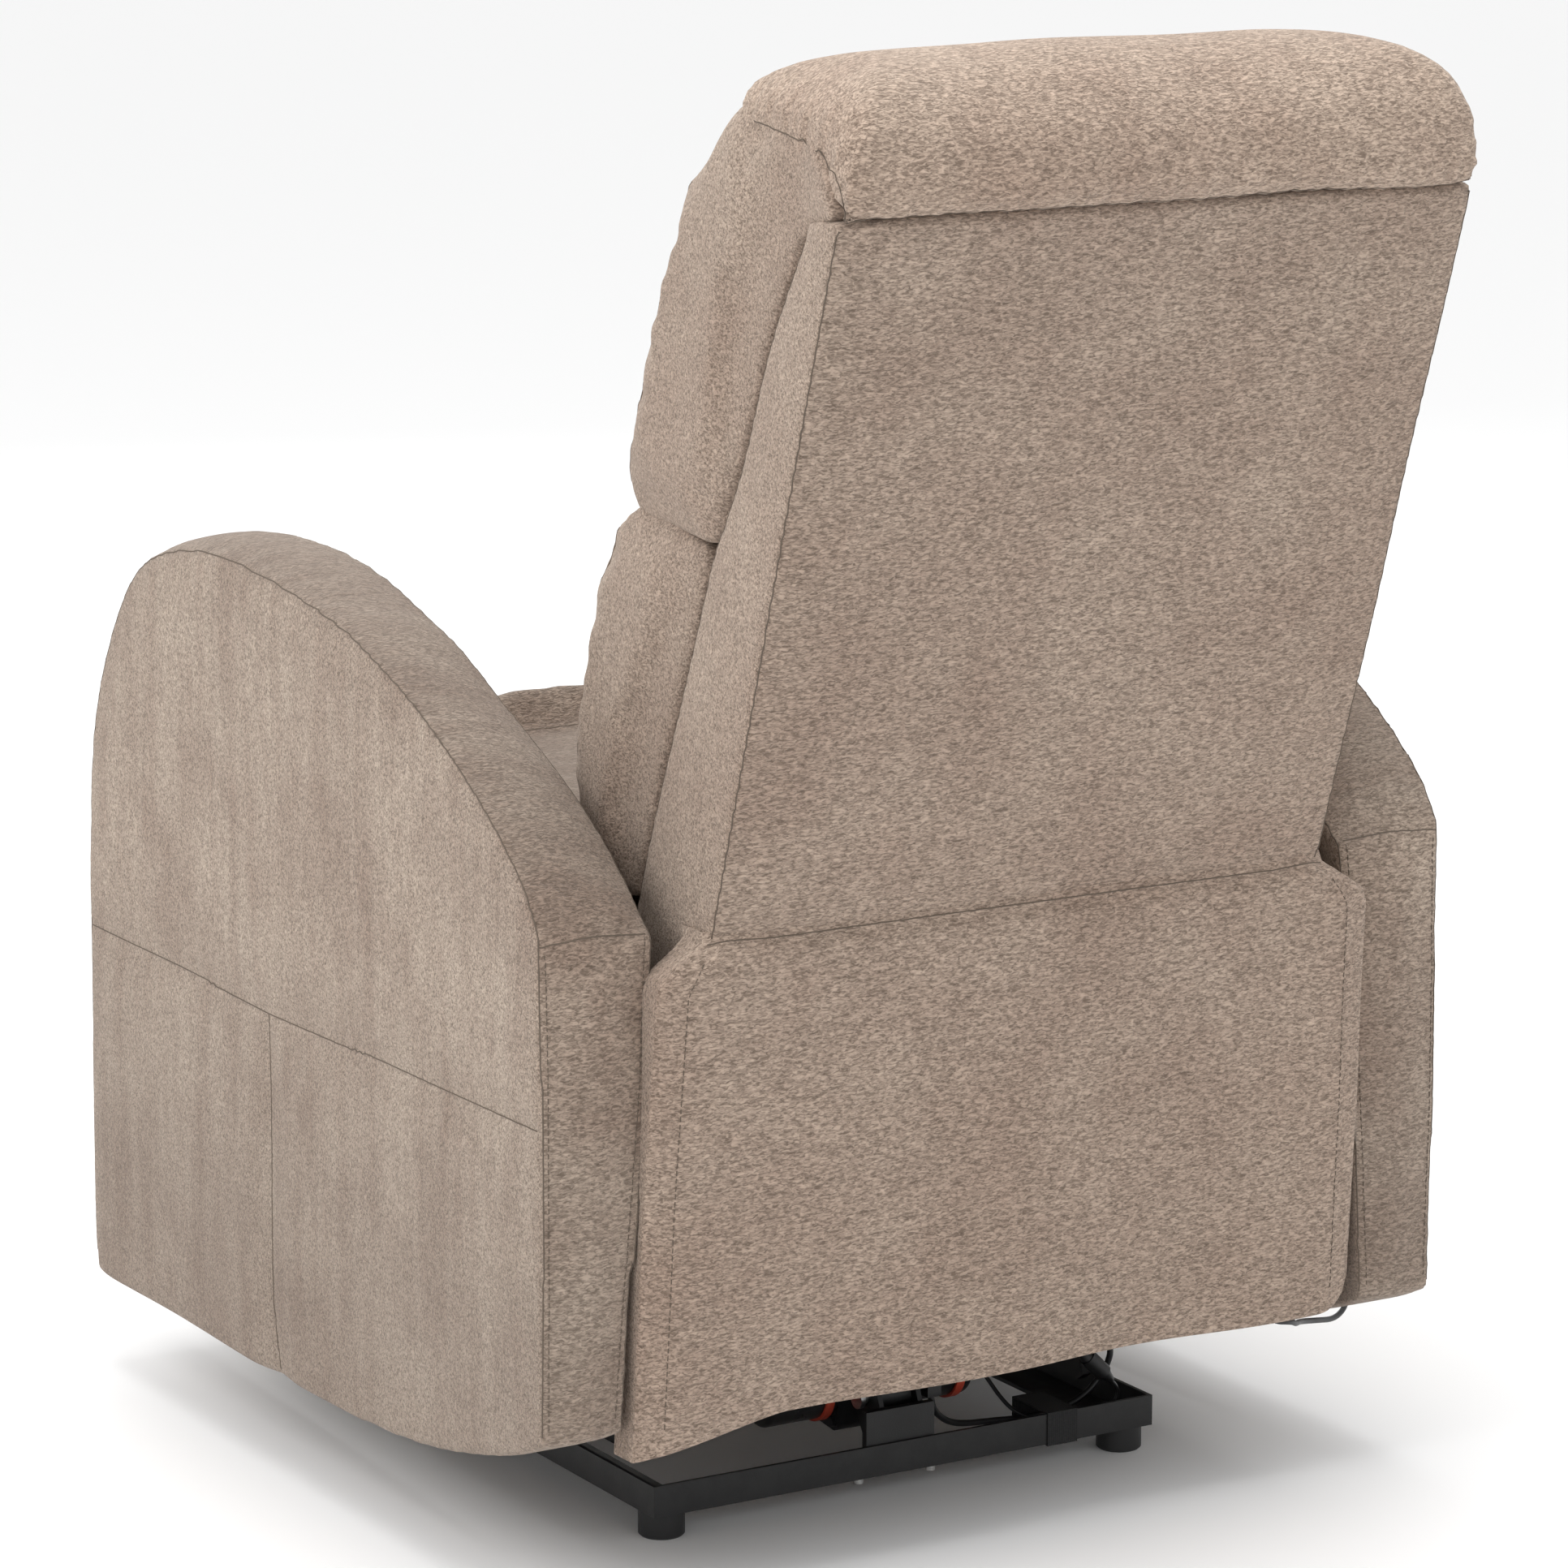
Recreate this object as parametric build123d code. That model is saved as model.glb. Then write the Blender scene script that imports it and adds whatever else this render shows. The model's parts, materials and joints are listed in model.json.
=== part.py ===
"""A lift recliner chair: padded arms, seat, back and footrest on a powered lift base.

Millimetres. +X is the sitter's left, +Y is the rear, +Z is up. The origin is on the floor
under the middle of the chair. Side outlines are drawn as (y, z) points.
"""

import math
import os

from build123d import *

# Overall
ARM_OUTER_X = 387.5
ARM_REAR_Y = 295
SEAT_HALF_WIDTH = 284
FOOTREST_HALF_WIDTH = 278
BACK_HALF_WIDTH = 262
TOP_Z = 1107
FRONT_Y = -487

# Lift base
RAIL_OUTER_X = 221
RAIL_WIDTH = 40
RAIL_FRONT_Y = -400
CROSSBAR_REAR_Y = 158
ANGLE_HEIGHT = 24
SHEET = 3
FOOT_HEIGHT = 20
FOOT_R = 17.5
RAIL_TOP = FOOT_HEIGHT + ANGLE_HEIGHT

# Lift linkage pivots, as (y, z)
ARM_FRONT_PIVOT = (-330, 60)
ARM_REAR_PIVOT = (70, 85)
LINK_FRONT_PIVOT = (-375.9, 54.1)
LINK_REAR_PIVOT = (-90, 70)
TORQUE_TUBE = (-280, 140)
ACTUATOR_REAR_PIVOT = (125, 72)
ACTUATOR_FRONT_PIVOT = (-250, 112)

# Where each layer of the lift linkage lies, from the middle outwards
LINK_HANGER_X = (166, 170)
LINK_X = (178, 184)
LIFT_ARM_X = (190, 198)
ARM_HANGER_X = (200, 205)
LUG_X = (204, 209)

PIN_R = 6
RUNNING_GAP = 0.05
OPEN_PIVOT_GAP = 1.5
ROD_EYE_GAP = 5.2
ROD_PIN_R = 4.5

# Recline and footrest mechanism
BACK_PIVOT = (230, 435)
SIDE_PLATE_X = (236, 241)
FOOTREST_PIVOT = (-310, 300)
FOOTREST_LINK = 200
FOOTREST_RISE_DEG = 12
FOOTREST_CLOSED_DEG = 75
LOWER_LINK_X = (228, 233)
UPPER_LINK_X = (221, 226)
FOOTREST_EAR_X = (214, 219)
FLAT_BAR = 24

# Seat box
WOOD_RAIL_X = (241, 269)
SEAT_BOX_TOP = 345
TUBE = 30
CROSS_TUBE_TOP = 250
REAR_TUBE_Y = 70
FRONT_TUBE_Y = -90

# Hand control
HANDSET_Y = -10
HANDSET_BASE_Z = 446
HANDSET_SIZE = (13.3, 46, 160)
POCKET_OUTER_X = -403.5
CLOTH = 1.5

# Leads
MOTOR_LEAD_D = 3.2
SUPPLY_LEAD_D = 5
HANDSET_LEAD_D = 4.5


def block(x, y, z):
    """A box between pairs of limits."""
    size = [b - a for a, b in (x, y, z)]
    centre = [(a + b) / 2 for a, b in (x, y, z)]
    return Pos(*centre) * Box(*size)


def side_plate(outline, x):
    """A closed (y, z) outline made into a plate between two x limits."""
    face = make_face(outline)
    return extrude(Plane.YZ.offset(x[0]) * face, x[1] - x[0])


def polygon(points):
    return Polyline(*points, close=True)


def rod_x(centre, x, radius):
    """A round bar along X through a (y, z) point."""
    middle = (x[0] + x[1]) / 2
    return Pos(middle, *centre) * Rot(0, 90, 0) * Cylinder(radius, x[1] - x[0])


def bar(start, end, width, x):
    """A flat bar with round ends about two (y, z) points."""
    run = Vector(end[0] - start[0], end[1] - start[1])
    middle = Vector((start[0] + end[0]) / 2, (start[1] + end[1]) / 2)
    angle = math.degrees(math.atan2(run.Y, run.X))
    slot = Pos(middle.X, middle.Y) * Rot(0, 0, angle) * SlotCenterToCenter(run.length, width)
    return extrude(Plane.YZ.offset(x[0]) * slot, x[1] - x[0])


def other_side(part):
    return mirror(part, about=Plane.YZ)


def both_sides(part):
    """The same piece on the left and the right, as separate solids."""
    return Compound(children=[*part.solids(), *other_side(part).solids()])


def group(*parts):
    return Compound(children=[solid for part in parts for solid in part.solids()])


def save(part, name):
    export_step(part, f"parts/{name}.step")


# ---- lift base -------------------------------------------------------------------------


def base_rail():
    foot_flange = block(
        (RAIL_OUTER_X - RAIL_WIDTH, RAIL_OUTER_X),
        (RAIL_FRONT_Y, CROSSBAR_REAR_Y - SHEET),
        (FOOT_HEIGHT, FOOT_HEIGHT + SHEET),
    )
    wall = block(
        (RAIL_OUTER_X - SHEET, RAIL_OUTER_X),
        (RAIL_FRONT_Y, CROSSBAR_REAR_Y - SHEET),
        (FOOT_HEIGHT, RAIL_TOP),
    )
    return foot_flange + wall


def crossbar(outer_y, inner_y, half_width):
    """An angle bar across the base, its upright leg at outer_y."""
    inward = 1 if inner_y > outer_y else -1
    upright = sorted((outer_y, outer_y + inward * SHEET))
    wall = block((-half_width, half_width), upright, (FOOT_HEIGHT, RAIL_TOP))
    leg_half = RAIL_OUTER_X - RAIL_WIDTH
    leg = block((-leg_half, leg_half), sorted((outer_y, inner_y)), (FOOT_HEIGHT, FOOT_HEIGHT + SHEET))
    return wall + leg


def base_feet():
    foot_x = RAIL_OUTER_X - FOOT_R
    spots = [(x, y) for x in (-foot_x, foot_x) for y in (RAIL_FRONT_Y + 22, CROSSBAR_REAR_Y - 20)]
    pad = Pos(0, 0, FOOT_HEIGHT / 2) * Cylinder(FOOT_R, FOOT_HEIGHT)
    pad = chamfer(pad.edges().group_by(Axis.Z)[0], 1.5)
    return group(*[Pos(x, y, 0) * pad for x, y in spots])


def pivot_lug():
    y_front, y_rear = LINK_FRONT_PIVOT[0] - 22, ARM_FRONT_PIVOT[0] + 24
    outline = polygon(
        [(y_front, FOOT_HEIGHT + SHEET), (y_rear, FOOT_HEIGHT + SHEET), (y_rear, 62), (y_rear - 14, 82),
         (y_front + 34, 82), (y_front, 66)]
    )
    plate = side_plate(outline, LUG_X)
    return plate - rod_x(ARM_FRONT_PIVOT, LUG_X, PIN_R) - rod_x(LINK_FRONT_PIVOT, LUG_X, PIN_R)


def flanged_pin(centre, x, head):
    """A pivot pin with a flat head at its outer end."""
    return rod_x(centre, x, PIN_R) + rod_x(centre, (x[1], x[1] + head), PIN_R + 4)


def base_pivot_pins():
    arm_pin = flanged_pin(ARM_FRONT_PIVOT, (LIFT_ARM_X[0] - 3, LUG_X[1]), 4)
    link_pin = flanged_pin(LINK_FRONT_PIVOT, (LINK_X[0] - 3, LUG_X[1]), 4)
    return both_sides(group(arm_pin, link_pin))


CLEVIS_EAR_X = (15, 19)


def actuator_clevis():
    y, z = ACTUATOR_REAR_PIVOT
    foot = block((-36, 36), (CROSSBAR_REAR_Y - 30, CROSSBAR_REAR_Y - SHEET), (FOOT_HEIGHT + SHEET, 30))
    back = block((-24, 36), (CROSSBAR_REAR_Y - 9, CROSSBAR_REAR_Y - SHEET), (30, 70))
    outline = polygon([(y - 13, z - 14), (y - 13, z + 14), (y + 14, z + 14), (y + 24, 62), (y + 24, 30), (y + 4, 30)])
    ear = side_plate(outline, CLEVIS_EAR_X)
    whole = foot + back + ear + other_side(ear)
    return whole - rod_x(ACTUATOR_REAR_PIVOT, (-40, 40), 5)


def clevis_pin():
    pin = rod_x(ACTUATOR_REAR_PIVOT, (-23, 23), 5)
    return pin + rod_x(ACTUATOR_REAR_PIVOT, (23, 27), 8)


def clevis_bolts():
    y = CROSSBAR_REAR_Y - 18
    bolts = []
    for x in (-30, 34):
        head = Pos(x, y, FOOT_HEIGHT - 4) * extrude(RegularPolygon(7.5, 6), 4)
        tip = Pos(x, y, FOOT_HEIGHT - 6.5) * Cylinder(4, 5)
        bolts.append(head + tip)
    return group(*bolts)


STRAP_X = (-151, -124)


def cable_strap():
    """A hook-and-loop strap wrapped round the rear crossbar and the leads on it."""
    gap = 1.2
    y = (112, CROSSBAR_REAR_Y)
    outer = block(STRAP_X, (y[0] - gap - 2, y[1] + gap), (FOOT_HEIGHT - gap, RAIL_TOP + gap))
    inner = block(STRAP_X, (y[0] - 2, y[1]), (FOOT_HEIGHT, RAIL_TOP))
    return outer - inner


# ---- lift arms and actuator --------------------------------------------------------------


def lift_arm():
    """The main arm, its horn up to the torque tube, and its slanted rear end."""
    front, rear = ARM_FRONT_PIVOT, ARM_REAR_PIVOT
    outline = polygon(
        [(front[0], front[1] + 18), (rear[0] - 30, rear[1] + 18), (rear[0] + 16, rear[1] + 18),
         (rear[0] + 38, 52), (rear[0] + 30, 46), (front[0], front[1] - 18)]
    )
    plate = side_plate(outline, LIFT_ARM_X) + rod_x(front, LIFT_ARM_X, 18)
    plate += bar(front, TORQUE_TUBE, 36, LIFT_ARM_X)
    for pivot in (front, rear):
        plate -= rod_x(pivot, LIFT_ARM_X, PIN_R + RUNNING_GAP)
    return plate


def torque_tube():
    half = TUBE / 2
    y, z = TORQUE_TUBE
    x = (-LIFT_ARM_X[0], LIFT_ARM_X[0])
    outer = block(x, (y - half, y + half), (z - half, z + half))
    inner = block(x, (y - half + 2, y + half - 2), (z - half + 2, z + half - 2))
    return outer - inner


ROD_LUG_X = (12, 16)


def rod_lugs():
    y, z = ACTUATOR_FRONT_PIVOT
    tube_face = TORQUE_TUBE[0] + TUBE / 2
    tube_foot = TORQUE_TUBE[1] - TUBE / 2
    outline = polygon(
        [(tube_face, tube_foot + 25), (tube_face, tube_foot), (y - 13, z + 2), (y - 8, z - 11), (y + 8, z - 11),
         (y + 12, z), (y + 6, z + 23)]
    )
    return both_sides(side_plate(outline, ROD_LUG_X) - rod_x((y, z), ROD_LUG_X, ROD_PIN_R))


def rod_pin():
    return rod_x(ACTUATOR_FRONT_PIVOT, (-20, 20), ROD_PIN_R)


def tilt_link():
    link = bar(LINK_FRONT_PIVOT, LINK_REAR_PIVOT, FLAT_BAR, LINK_X)
    link -= rod_x(LINK_FRONT_PIVOT, LINK_X, PIN_R + RUNNING_GAP)
    return link - rod_x(LINK_REAR_PIVOT, LINK_X, PIN_R + OPEN_PIVOT_GAP)


ACTUATOR_RUN = Vector(
    0,
    ACTUATOR_FRONT_PIVOT[0] - ACTUATOR_REAR_PIVOT[0],
    ACTUATOR_FRONT_PIVOT[1] - ACTUATOR_REAR_PIVOT[1],
)
ACTUATOR_LENGTH = ACTUATOR_RUN.length
ACTUATOR_PLANE = Plane(
    origin=(0, *ACTUATOR_REAR_PIVOT), x_dir=(1, 0, 0), z_dir=ACTUATOR_RUN.normalized()
)
MOTOR_CENTRE = (80, 72)
MOTOR_R = 25
MOTOR_X = (-92, 88)
OUTER_TUBE = (74, 340)
HOUSING_SIZE = (62, 60)
HOUSING_PLACE = ACTUATOR_PLANE * Pos(0, -4, 49)
ROD_START = 200


def on_actuator(start, end, radius):
    """A round bar along the actuator between two distances from its rear pivot."""
    middle = (start + end) / 2
    return ACTUATOR_PLANE * Pos(0, 0, middle) * Cylinder(radius, end - start)


def actuator_housing():
    """The gearbox: a block about the motor and the spindle, with an eye at its rear."""
    body = HOUSING_PLACE * Box(52, *HOUSING_SIZE)
    body = fillet(body.edges().filter_by(Axis.X), 6)
    eye = rod_x(ACTUATOR_REAR_PIVOT, (-14, 14), 13)
    neck = ACTUATOR_PLANE * Pos(0, 0, 12) * Box(28, 22, 24)
    whole = body + eye + neck
    whole -= rod_x(ACTUATOR_REAR_PIVOT, (-14, 14), 5 + RUNNING_GAP)
    whole -= rod_x(MOTOR_CENTRE, (-26, 26), MOTOR_R)
    return whole - on_actuator(OUTER_TUBE[0], OUTER_TUBE[0] + 8, 20)


def actuator_motor():
    """The motor can across the chair, with the block that its supply lead enters from below."""
    can = rod_x(MOTOR_CENTRE, MOTOR_X, MOTOR_R)
    can = fillet(can.edges().filter_by(GeomType.CIRCLE), 4)
    entry_y = MOTOR_CENTRE[0] + MOTOR_R
    return can + block((-56, -44), (entry_y - 5, entry_y + 9), (58, 70))


RING_X = ((34, 41), (-83, -76))


def motor_rings():
    rings = [rod_x(MOTOR_CENTRE, x, MOTOR_R + 2) - rod_x(MOTOR_CENTRE, x, MOTOR_R) for x in RING_X]
    return group(*rings)


def motor_plate():
    """The bolted flange on the left of the gearbox."""
    plate = HOUSING_PLACE * Pos(28, 0, 0) * Box(4, *HOUSING_SIZE)
    plate = fillet(plate.edges().filter_by(Axis.X), 6)
    return plate - rod_x(MOTOR_CENTRE, (20, 40), MOTOR_R)


def motor_plate_screws():
    screws = [
        HOUSING_PLACE * Pos(31.5, across, along) * Rot(0, 90, 0) * Cylinder(3.5, 3)
        for across in (-24, 24)
        for along in (-24, 24)
    ]
    return group(*screws)


def actuator_tube():
    start, end = OUTER_TUBE
    return on_actuator(start, end, 20) - on_actuator(start + 20, end, 11)


def actuator_rod():
    return on_actuator(ROD_START, ACTUATOR_LENGTH - 22, 10)


def rod_eye():
    eye = rod_x(ACTUATOR_FRONT_PIVOT, (-10, 10), 14.5)
    neck = on_actuator(ACTUATOR_LENGTH - 22, ACTUATOR_LENGTH - 11, 8)
    return (eye + neck) - rod_x(ACTUATOR_FRONT_PIVOT, (-10, 10), ROD_PIN_R + ROD_EYE_GAP)


# ---- seat box ------------------------------------------------------------------------------


def cross_tube(y):
    half = TUBE / 2
    x = (-WOOD_RAIL_X[1], WOOD_RAIL_X[1])
    z = (CROSS_TUBE_TOP - TUBE, CROSS_TUBE_TOP)
    outer = block(x, (y - half, y + half), z)
    return outer - block(x, (y - half + 2, y + half - 2), (z[0] + 2, z[1] - 2))


def hanger(pivot, half_width, x, tube_y):
    """A plate that hangs a lift pivot from a cross tube."""
    top = CROSS_TUBE_TOP - TUBE
    outline = polygon(
        [(tube_y - 20, top), (tube_y + 20, top), (pivot[0] + half_width, pivot[1]), (pivot[0] - half_width, pivot[1])]
    )
    plate = side_plate(outline, x) + rod_x(pivot, x, half_width)
    return plate - rod_x(pivot, x, PIN_R)


def hanger_pins():
    arm_pin = flanged_pin(ARM_REAR_PIVOT, (LIFT_ARM_X[0] - 3, ARM_HANGER_X[1]), 4)
    link_pin = rod_x(LINK_REAR_PIVOT, (LINK_HANGER_X[0] - 3, LINK_X[1] + 3), PIN_R)
    return both_sides(group(arm_pin, link_pin))


def mechanism_plate():
    outline = polygon(
        [(-335, 268), (-335, 325), (190, 325), (214, 452), (246, 452), (262, 325), (262, CROSS_TUBE_TOP),
         (-110, CROSS_TUBE_TOP), (-150, 268)]
    )
    plate = side_plate(outline, SIDE_PLATE_X)
    for pivot in (BACK_PIVOT, FOOTREST_PIVOT):
        plate -= rod_x(pivot, SIDE_PLATE_X, PIN_R)
    return plate


def back_pivot_pins():
    return both_sides(rod_x(BACK_PIVOT, (STILE_X[1] - 3, SIDE_PLATE_X[1]), PIN_R))


def wood_side_rail():
    return block(WOOD_RAIL_X, (-428, 262), (CROSS_TUBE_TOP, SEAT_BOX_TOP))


def wood_cross_rail(y):
    return block((-WOOD_RAIL_X[1], WOOD_RAIL_X[1]), y, (SEAT_BOX_TOP, SEAT_BOX_TOP + 25))


SPRING_WIRE_R = 1.9
SPRING_Z = SEAT_BOX_TOP + 25 + SPRING_WIRE_R


def zigzag_spring(x):
    """A flat sinuous spring from the front rail to the rear rail."""
    half_wave, pitch, bends = 22, 38, 15
    points = [(x + (half_wave if i % 2 else -half_wave), -408 + pitch * i) for i in range(bends + 1)]
    path = Pos(0, 0, SPRING_Z) * FilletPolyline(*points, radius=12)
    start = path.edges().sort_by(Axis.Y)[0]
    section = Plane(origin=start @ 0, z_dir=start % 0) * Circle(SPRING_WIRE_R)
    return sweep(section, path=path)


def seat_springs():
    return group(*[zigzag_spring(x) for x in (-170, -85, 0, 85, 170)])


def seat_cushion():
    """A block with a raised roll along its front edge."""
    outline = polygon([(-470, 378), (-470, 532), (-410, 532), (-394, 494), (170, 490), (170, 378)])
    cushion = side_plate(outline, (-SEAT_HALF_WIDTH, SEAT_HALF_WIDTH))
    return fillet(cushion.edges().filter_by(Axis.X), 12)


BRACKET_Y = ((-320, -290), (110, 140))
ARM_PANEL_X = (331, 349)


def arm_brackets():
    left = [block((WOOD_RAIL_X[1], ARM_PANEL_X[0]), y, (280, 320)) for y in BRACKET_Y]
    return both_sides(group(*left))


def control_box():
    box = block((-190, -90), (-35, REAR_TUBE_Y - TUBE / 2), (214, 250))
    box = fillet(box.edges().filter_by(Axis.Z), 5)
    gland = Pos(-193, 10, 232) * Rot(0, 90, 0) * Cylinder(5, 6)
    return box + gland


def power_inlet():
    """The panel socket for a detachable supply lead, on the underside of the control box."""
    shell = block((-158, -130), (-20, 0), (200, 214))
    return shell - block((-154, -134), (-16, -4), (200, 210))


# ---- arms ----------------------------------------------------------------------------------

ARM_INNER_X = 290
ARM_BOTTOM_Z = 77
# The inner face of an arm leans outwards below and behind the plane through these three points.
ARM_TAPER = ((ARM_INNER_X, ARM_REAR_Y, 503), (ARM_INNER_X, -470, ARM_BOTTOM_Z), (318, ARM_REAR_Y, 137))


def arm_outline(inset=0):
    """The arched side of an arm; inset makes it smaller all round."""
    i = inset
    arch = Spline(
        [(-468 + i, 400), (-456 + i, 520), (-418 + i, 615 - i), (-306, 691 - i), (-176, 700 - i),
         (12, 672 - i), (174 - i, 604 - i), (292 - i, 508 - i)]
    )
    rear = Line((292 - i, 508 - i), (292 - i, 137 + i))
    sweep_up = Spline([(292 - i, 137 + i), (155, 100 + i), (-7, 79 + i), (-134, ARM_BOTTOM_Z + i)])
    sole = Line((-134, ARM_BOTTOM_Z + i), (-452 + i, ARM_BOTTOM_Z + i))
    toe = Line((-452 + i, ARM_BOTTOM_Z + i), (-471 + i, ARM_BOTTOM_Z + 17 + i))
    front = Line((-471 + i, ARM_BOTTOM_Z + 17 + i), (-468 + i, 400))
    return [arch, rear, sweep_up, sole, toe, front]


def arm_inner_pad():
    """The padding on the seat side, thinner at its lower rear, cut round the brackets."""
    pad = side_plate(arm_outline(), (ARM_INNER_X, ARM_PANEL_X[0]))
    top, front, low = (Vector(*point) for point in ARM_TAPER)
    outward = (front - top).cross(low - top).normalized()
    if outward.X < 0:
        outward = -outward
    pad = split(pad, bisect_by=Plane(origin=top, z_dir=outward), keep=Keep.TOP)
    for y in BRACKET_Y:
        pad -= block((WOOD_RAIL_X[1], ARM_PANEL_X[0]), y, (280, 320))
    return pad


def arm_panel():
    return side_plate(arm_outline(inset=14), ARM_PANEL_X)


def arm_outer_pad():
    return side_plate(arm_outline(), (ARM_PANEL_X[1], ARM_OUTER_X))


# ---- rear skirt -------------------------------------------------------------------------------


def rear_skirt():
    """The cloth that hangs behind the seat box, with chamfered shoulders."""
    outline = Polyline(
        (-309, 0), (309, 0), (298, 281), (236, 318), (236, 326), (-236, 326), (-236, 318), (-298, 281), close=True
    )
    flat = extrude(Plane.XZ * make_face(outline), 6)
    lean = math.degrees(math.atan2(26, 336))
    return Pos(0, 283, 134) * Rot(-lean, 0, 0) * flat


# ---- back --------------------------------------------------------------------------------------

BACK_FOOT = (313, 490)
BACK_HEAD = (481, 1003)
BACK_RUN = Vector(BACK_HEAD[0] - BACK_FOOT[0], BACK_HEAD[1] - BACK_FOOT[1])
BACK_UP = BACK_RUN.normalized()
CREASE = [(196, 783), (253, 772), (308, 760)]
GUSSET_SEAM = [(308, 760), (275, 678), (228, 567), (206, 512)]
UPPER_SEAM = [(423, 979), (386, 916), (348, 829), (310, 764)]
BAND_EDGE = [(343, 1066), (408, 1058), (449, 1048), (474, 1031)]


def in_back(along, depth):
    """A (y, z) point up the back from its rear foot, and forward of its rear face."""
    return (
        BACK_FOOT[0] + BACK_UP.X * along - BACK_UP.Y * depth,
        BACK_FOOT[1] + BACK_UP.Y * along + BACK_UP.X * depth,
    )


def back_slab(along, depth, x):
    low, high = along
    near, far = depth
    corners = [in_back(low, near), in_back(high, near), in_back(high, far), in_back(low, far)]
    return side_plate(polygon(corners), x)


BACK_LENGTH = BACK_RUN.length
PANEL_DEPTH = 12
STILE_X = (202, 230)


def back_rear_panel():
    return back_slab((0, BACK_LENGTH), (0, PANEL_DEPTH), (-BACK_HALF_WIDTH, BACK_HALF_WIDTH))


def back_frame():
    """A timber ladder: two stiles and three rails."""
    stile = back_slab((70, 500), (14, 42), STILE_X)
    rails = [back_slab(span, (14, 42), (-STILE_X[0], STILE_X[0])) for span in ((70, 110), (270, 300), (450, 500))]
    whole = stile + other_side(stile)
    for rail in rails:
        whole += rail
    return whole


def back_webbing():
    straps = [back_slab((at, at + 50), (42, 44), (-STILE_X[1], STILE_X[1])) for at in (125, 200, 320, 390)]
    return group(*straps)


def back_bracket():
    """The steel ear that carries the timber back on its pivot."""
    y, z = BACK_PIVOT
    foot_front, foot_rear = in_back(80, 46), in_back(80, 32)
    top_front, top_rear = in_back(190, 44), in_back(190, 20)
    outline = polygon([(y - 18, z + 6), foot_front, top_front, top_rear, foot_rear, (y + 13, z + 14)])
    x = (STILE_X[1], STILE_X[1] + 4)
    plate = side_plate(outline, x) + rod_x(BACK_PIVOT, x, 20)
    return plate - rod_x(BACK_PIVOT, x, PIN_R + RUNNING_GAP)


def back_gusset():
    """The side wedge between the pillows' side and the rear face."""
    head, foot = in_back(BACK_LENGTH, PANEL_DEPTH), in_back(0, PANEL_DEPTH)
    outline = polygon([head, foot, *GUSSET_SEAM[::-1], *UPPER_SEAM[::-1]])
    return side_plate(outline, (245, BACK_HALF_WIDTH))


def lumbar_pillow():
    front = [(100, 508), (104, 599), (129, 675), (145, 730), (168, 762)]
    outline = polygon([*front, *CREASE, *GUSSET_SEAM[1:]])
    return side_plate(outline, (-BACK_HALF_WIDTH, BACK_HALF_WIDTH))


def head_pillow():
    front = [(198, 788), (182, 804), (202, 865), (232, 942), (283, 1022)]
    outline = polygon([*front, *BAND_EDGE, *UPPER_SEAM, (253, 776)])
    return side_plate(outline, (-BACK_HALF_WIDTH, BACK_HALF_WIDTH))


def top_band():
    """The roll over the head of the back, rounded at its corners."""
    outline = polygon(
        [BAND_EDGE[0], BAND_EDGE[1], BAND_EDGE[2], BAND_EDGE[3], (481, 1003), (487, 1030), (480, 1072),
         (452, 1098), (405, TOP_Z), (360, 1100)]
    )
    roll = side_plate(outline, (-BACK_HALF_WIDTH, BACK_HALF_WIDTH))
    arch = Pos(0, 0) * RectangleRounded(2 * BACK_HALF_WIDTH, 400, 92)
    return roll & (Pos(0, 600, TOP_Z - 200) * extrude(Plane.XZ * arch, 600))


# ---- footrest ---------------------------------------------------------------------------------


def footrest_points():
    """The closed knee and board pivot of the footrest linkage, as (y, z)."""
    rise = math.radians(FOOTREST_RISE_DEG)
    fold = math.radians(FOOTREST_CLOSED_DEG)
    out = (-math.cos(rise), math.sin(rise))
    down = (-math.sin(rise), -math.cos(rise))
    y, z = FOOTREST_PIVOT
    reach, drop = FOOTREST_LINK * math.cos(fold), FOOTREST_LINK * math.sin(fold)
    knee = (y + reach * out[0] + drop * down[0], z + reach * out[1] + drop * down[1])
    board = (y + 2 * reach * out[0], z + 2 * reach * out[1])
    return knee, board


KNEE, BOARD_PIVOT = footrest_points()
BOARD_Y = (-450, -438)


def pivoted_bar(start, end, x):
    link = bar(start, end, FLAT_BAR, x)
    for pivot in (start, end):
        link -= rod_x(pivot, x, PIN_R + RUNNING_GAP)
    return link


def footrest_pins():
    """The pins fixed in the mechanism plates, on which the lower links turn."""
    return both_sides(rod_x(FOOTREST_PIVOT, (LOWER_LINK_X[0] - 1, SIDE_PLATE_X[1]), PIN_R))


def knee_pins():
    return both_sides(rod_x(KNEE, (UPPER_LINK_X[0] - 2, LOWER_LINK_X[1] + 1), PIN_R))


def footrest_ear():
    y, z = BOARD_PIVOT
    outline = polygon([(BOARD_Y[1], z - 60), (BOARD_Y[1], z + 24), (y - 8, z + 12), (y + 6, z + 10), (y + 8, z - 10)])
    return side_plate(outline, FOOTREST_EAR_X) - rod_x((y, z), FOOTREST_EAR_X, PIN_R)


def board_pins():
    return both_sides(rod_x(BOARD_PIVOT, (FOOTREST_EAR_X[0], UPPER_LINK_X[1] + 1), PIN_R))


def footrest_board():
    return block((-232, 232), BOARD_Y, (120, 352))


def footrest_pad():
    half = FOOTREST_HALF_WIDTH
    pad = block((-half, half), (FRONT_Y, BOARD_Y[0]), (105, 365))
    return fillet(pad.edges().group_by(Axis.Y)[0], 16)


# ---- hand control ------------------------------------------------------------------------------

HANDSET_OUTER_X = POCKET_OUTER_X + CLOTH + 0.5
POCKET_Z = (436, 556)
BUTTON_Z = (574, 592)
BUTTON_SIZE = (14, 12)
BUTTON_PROUD = 1.2


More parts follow.
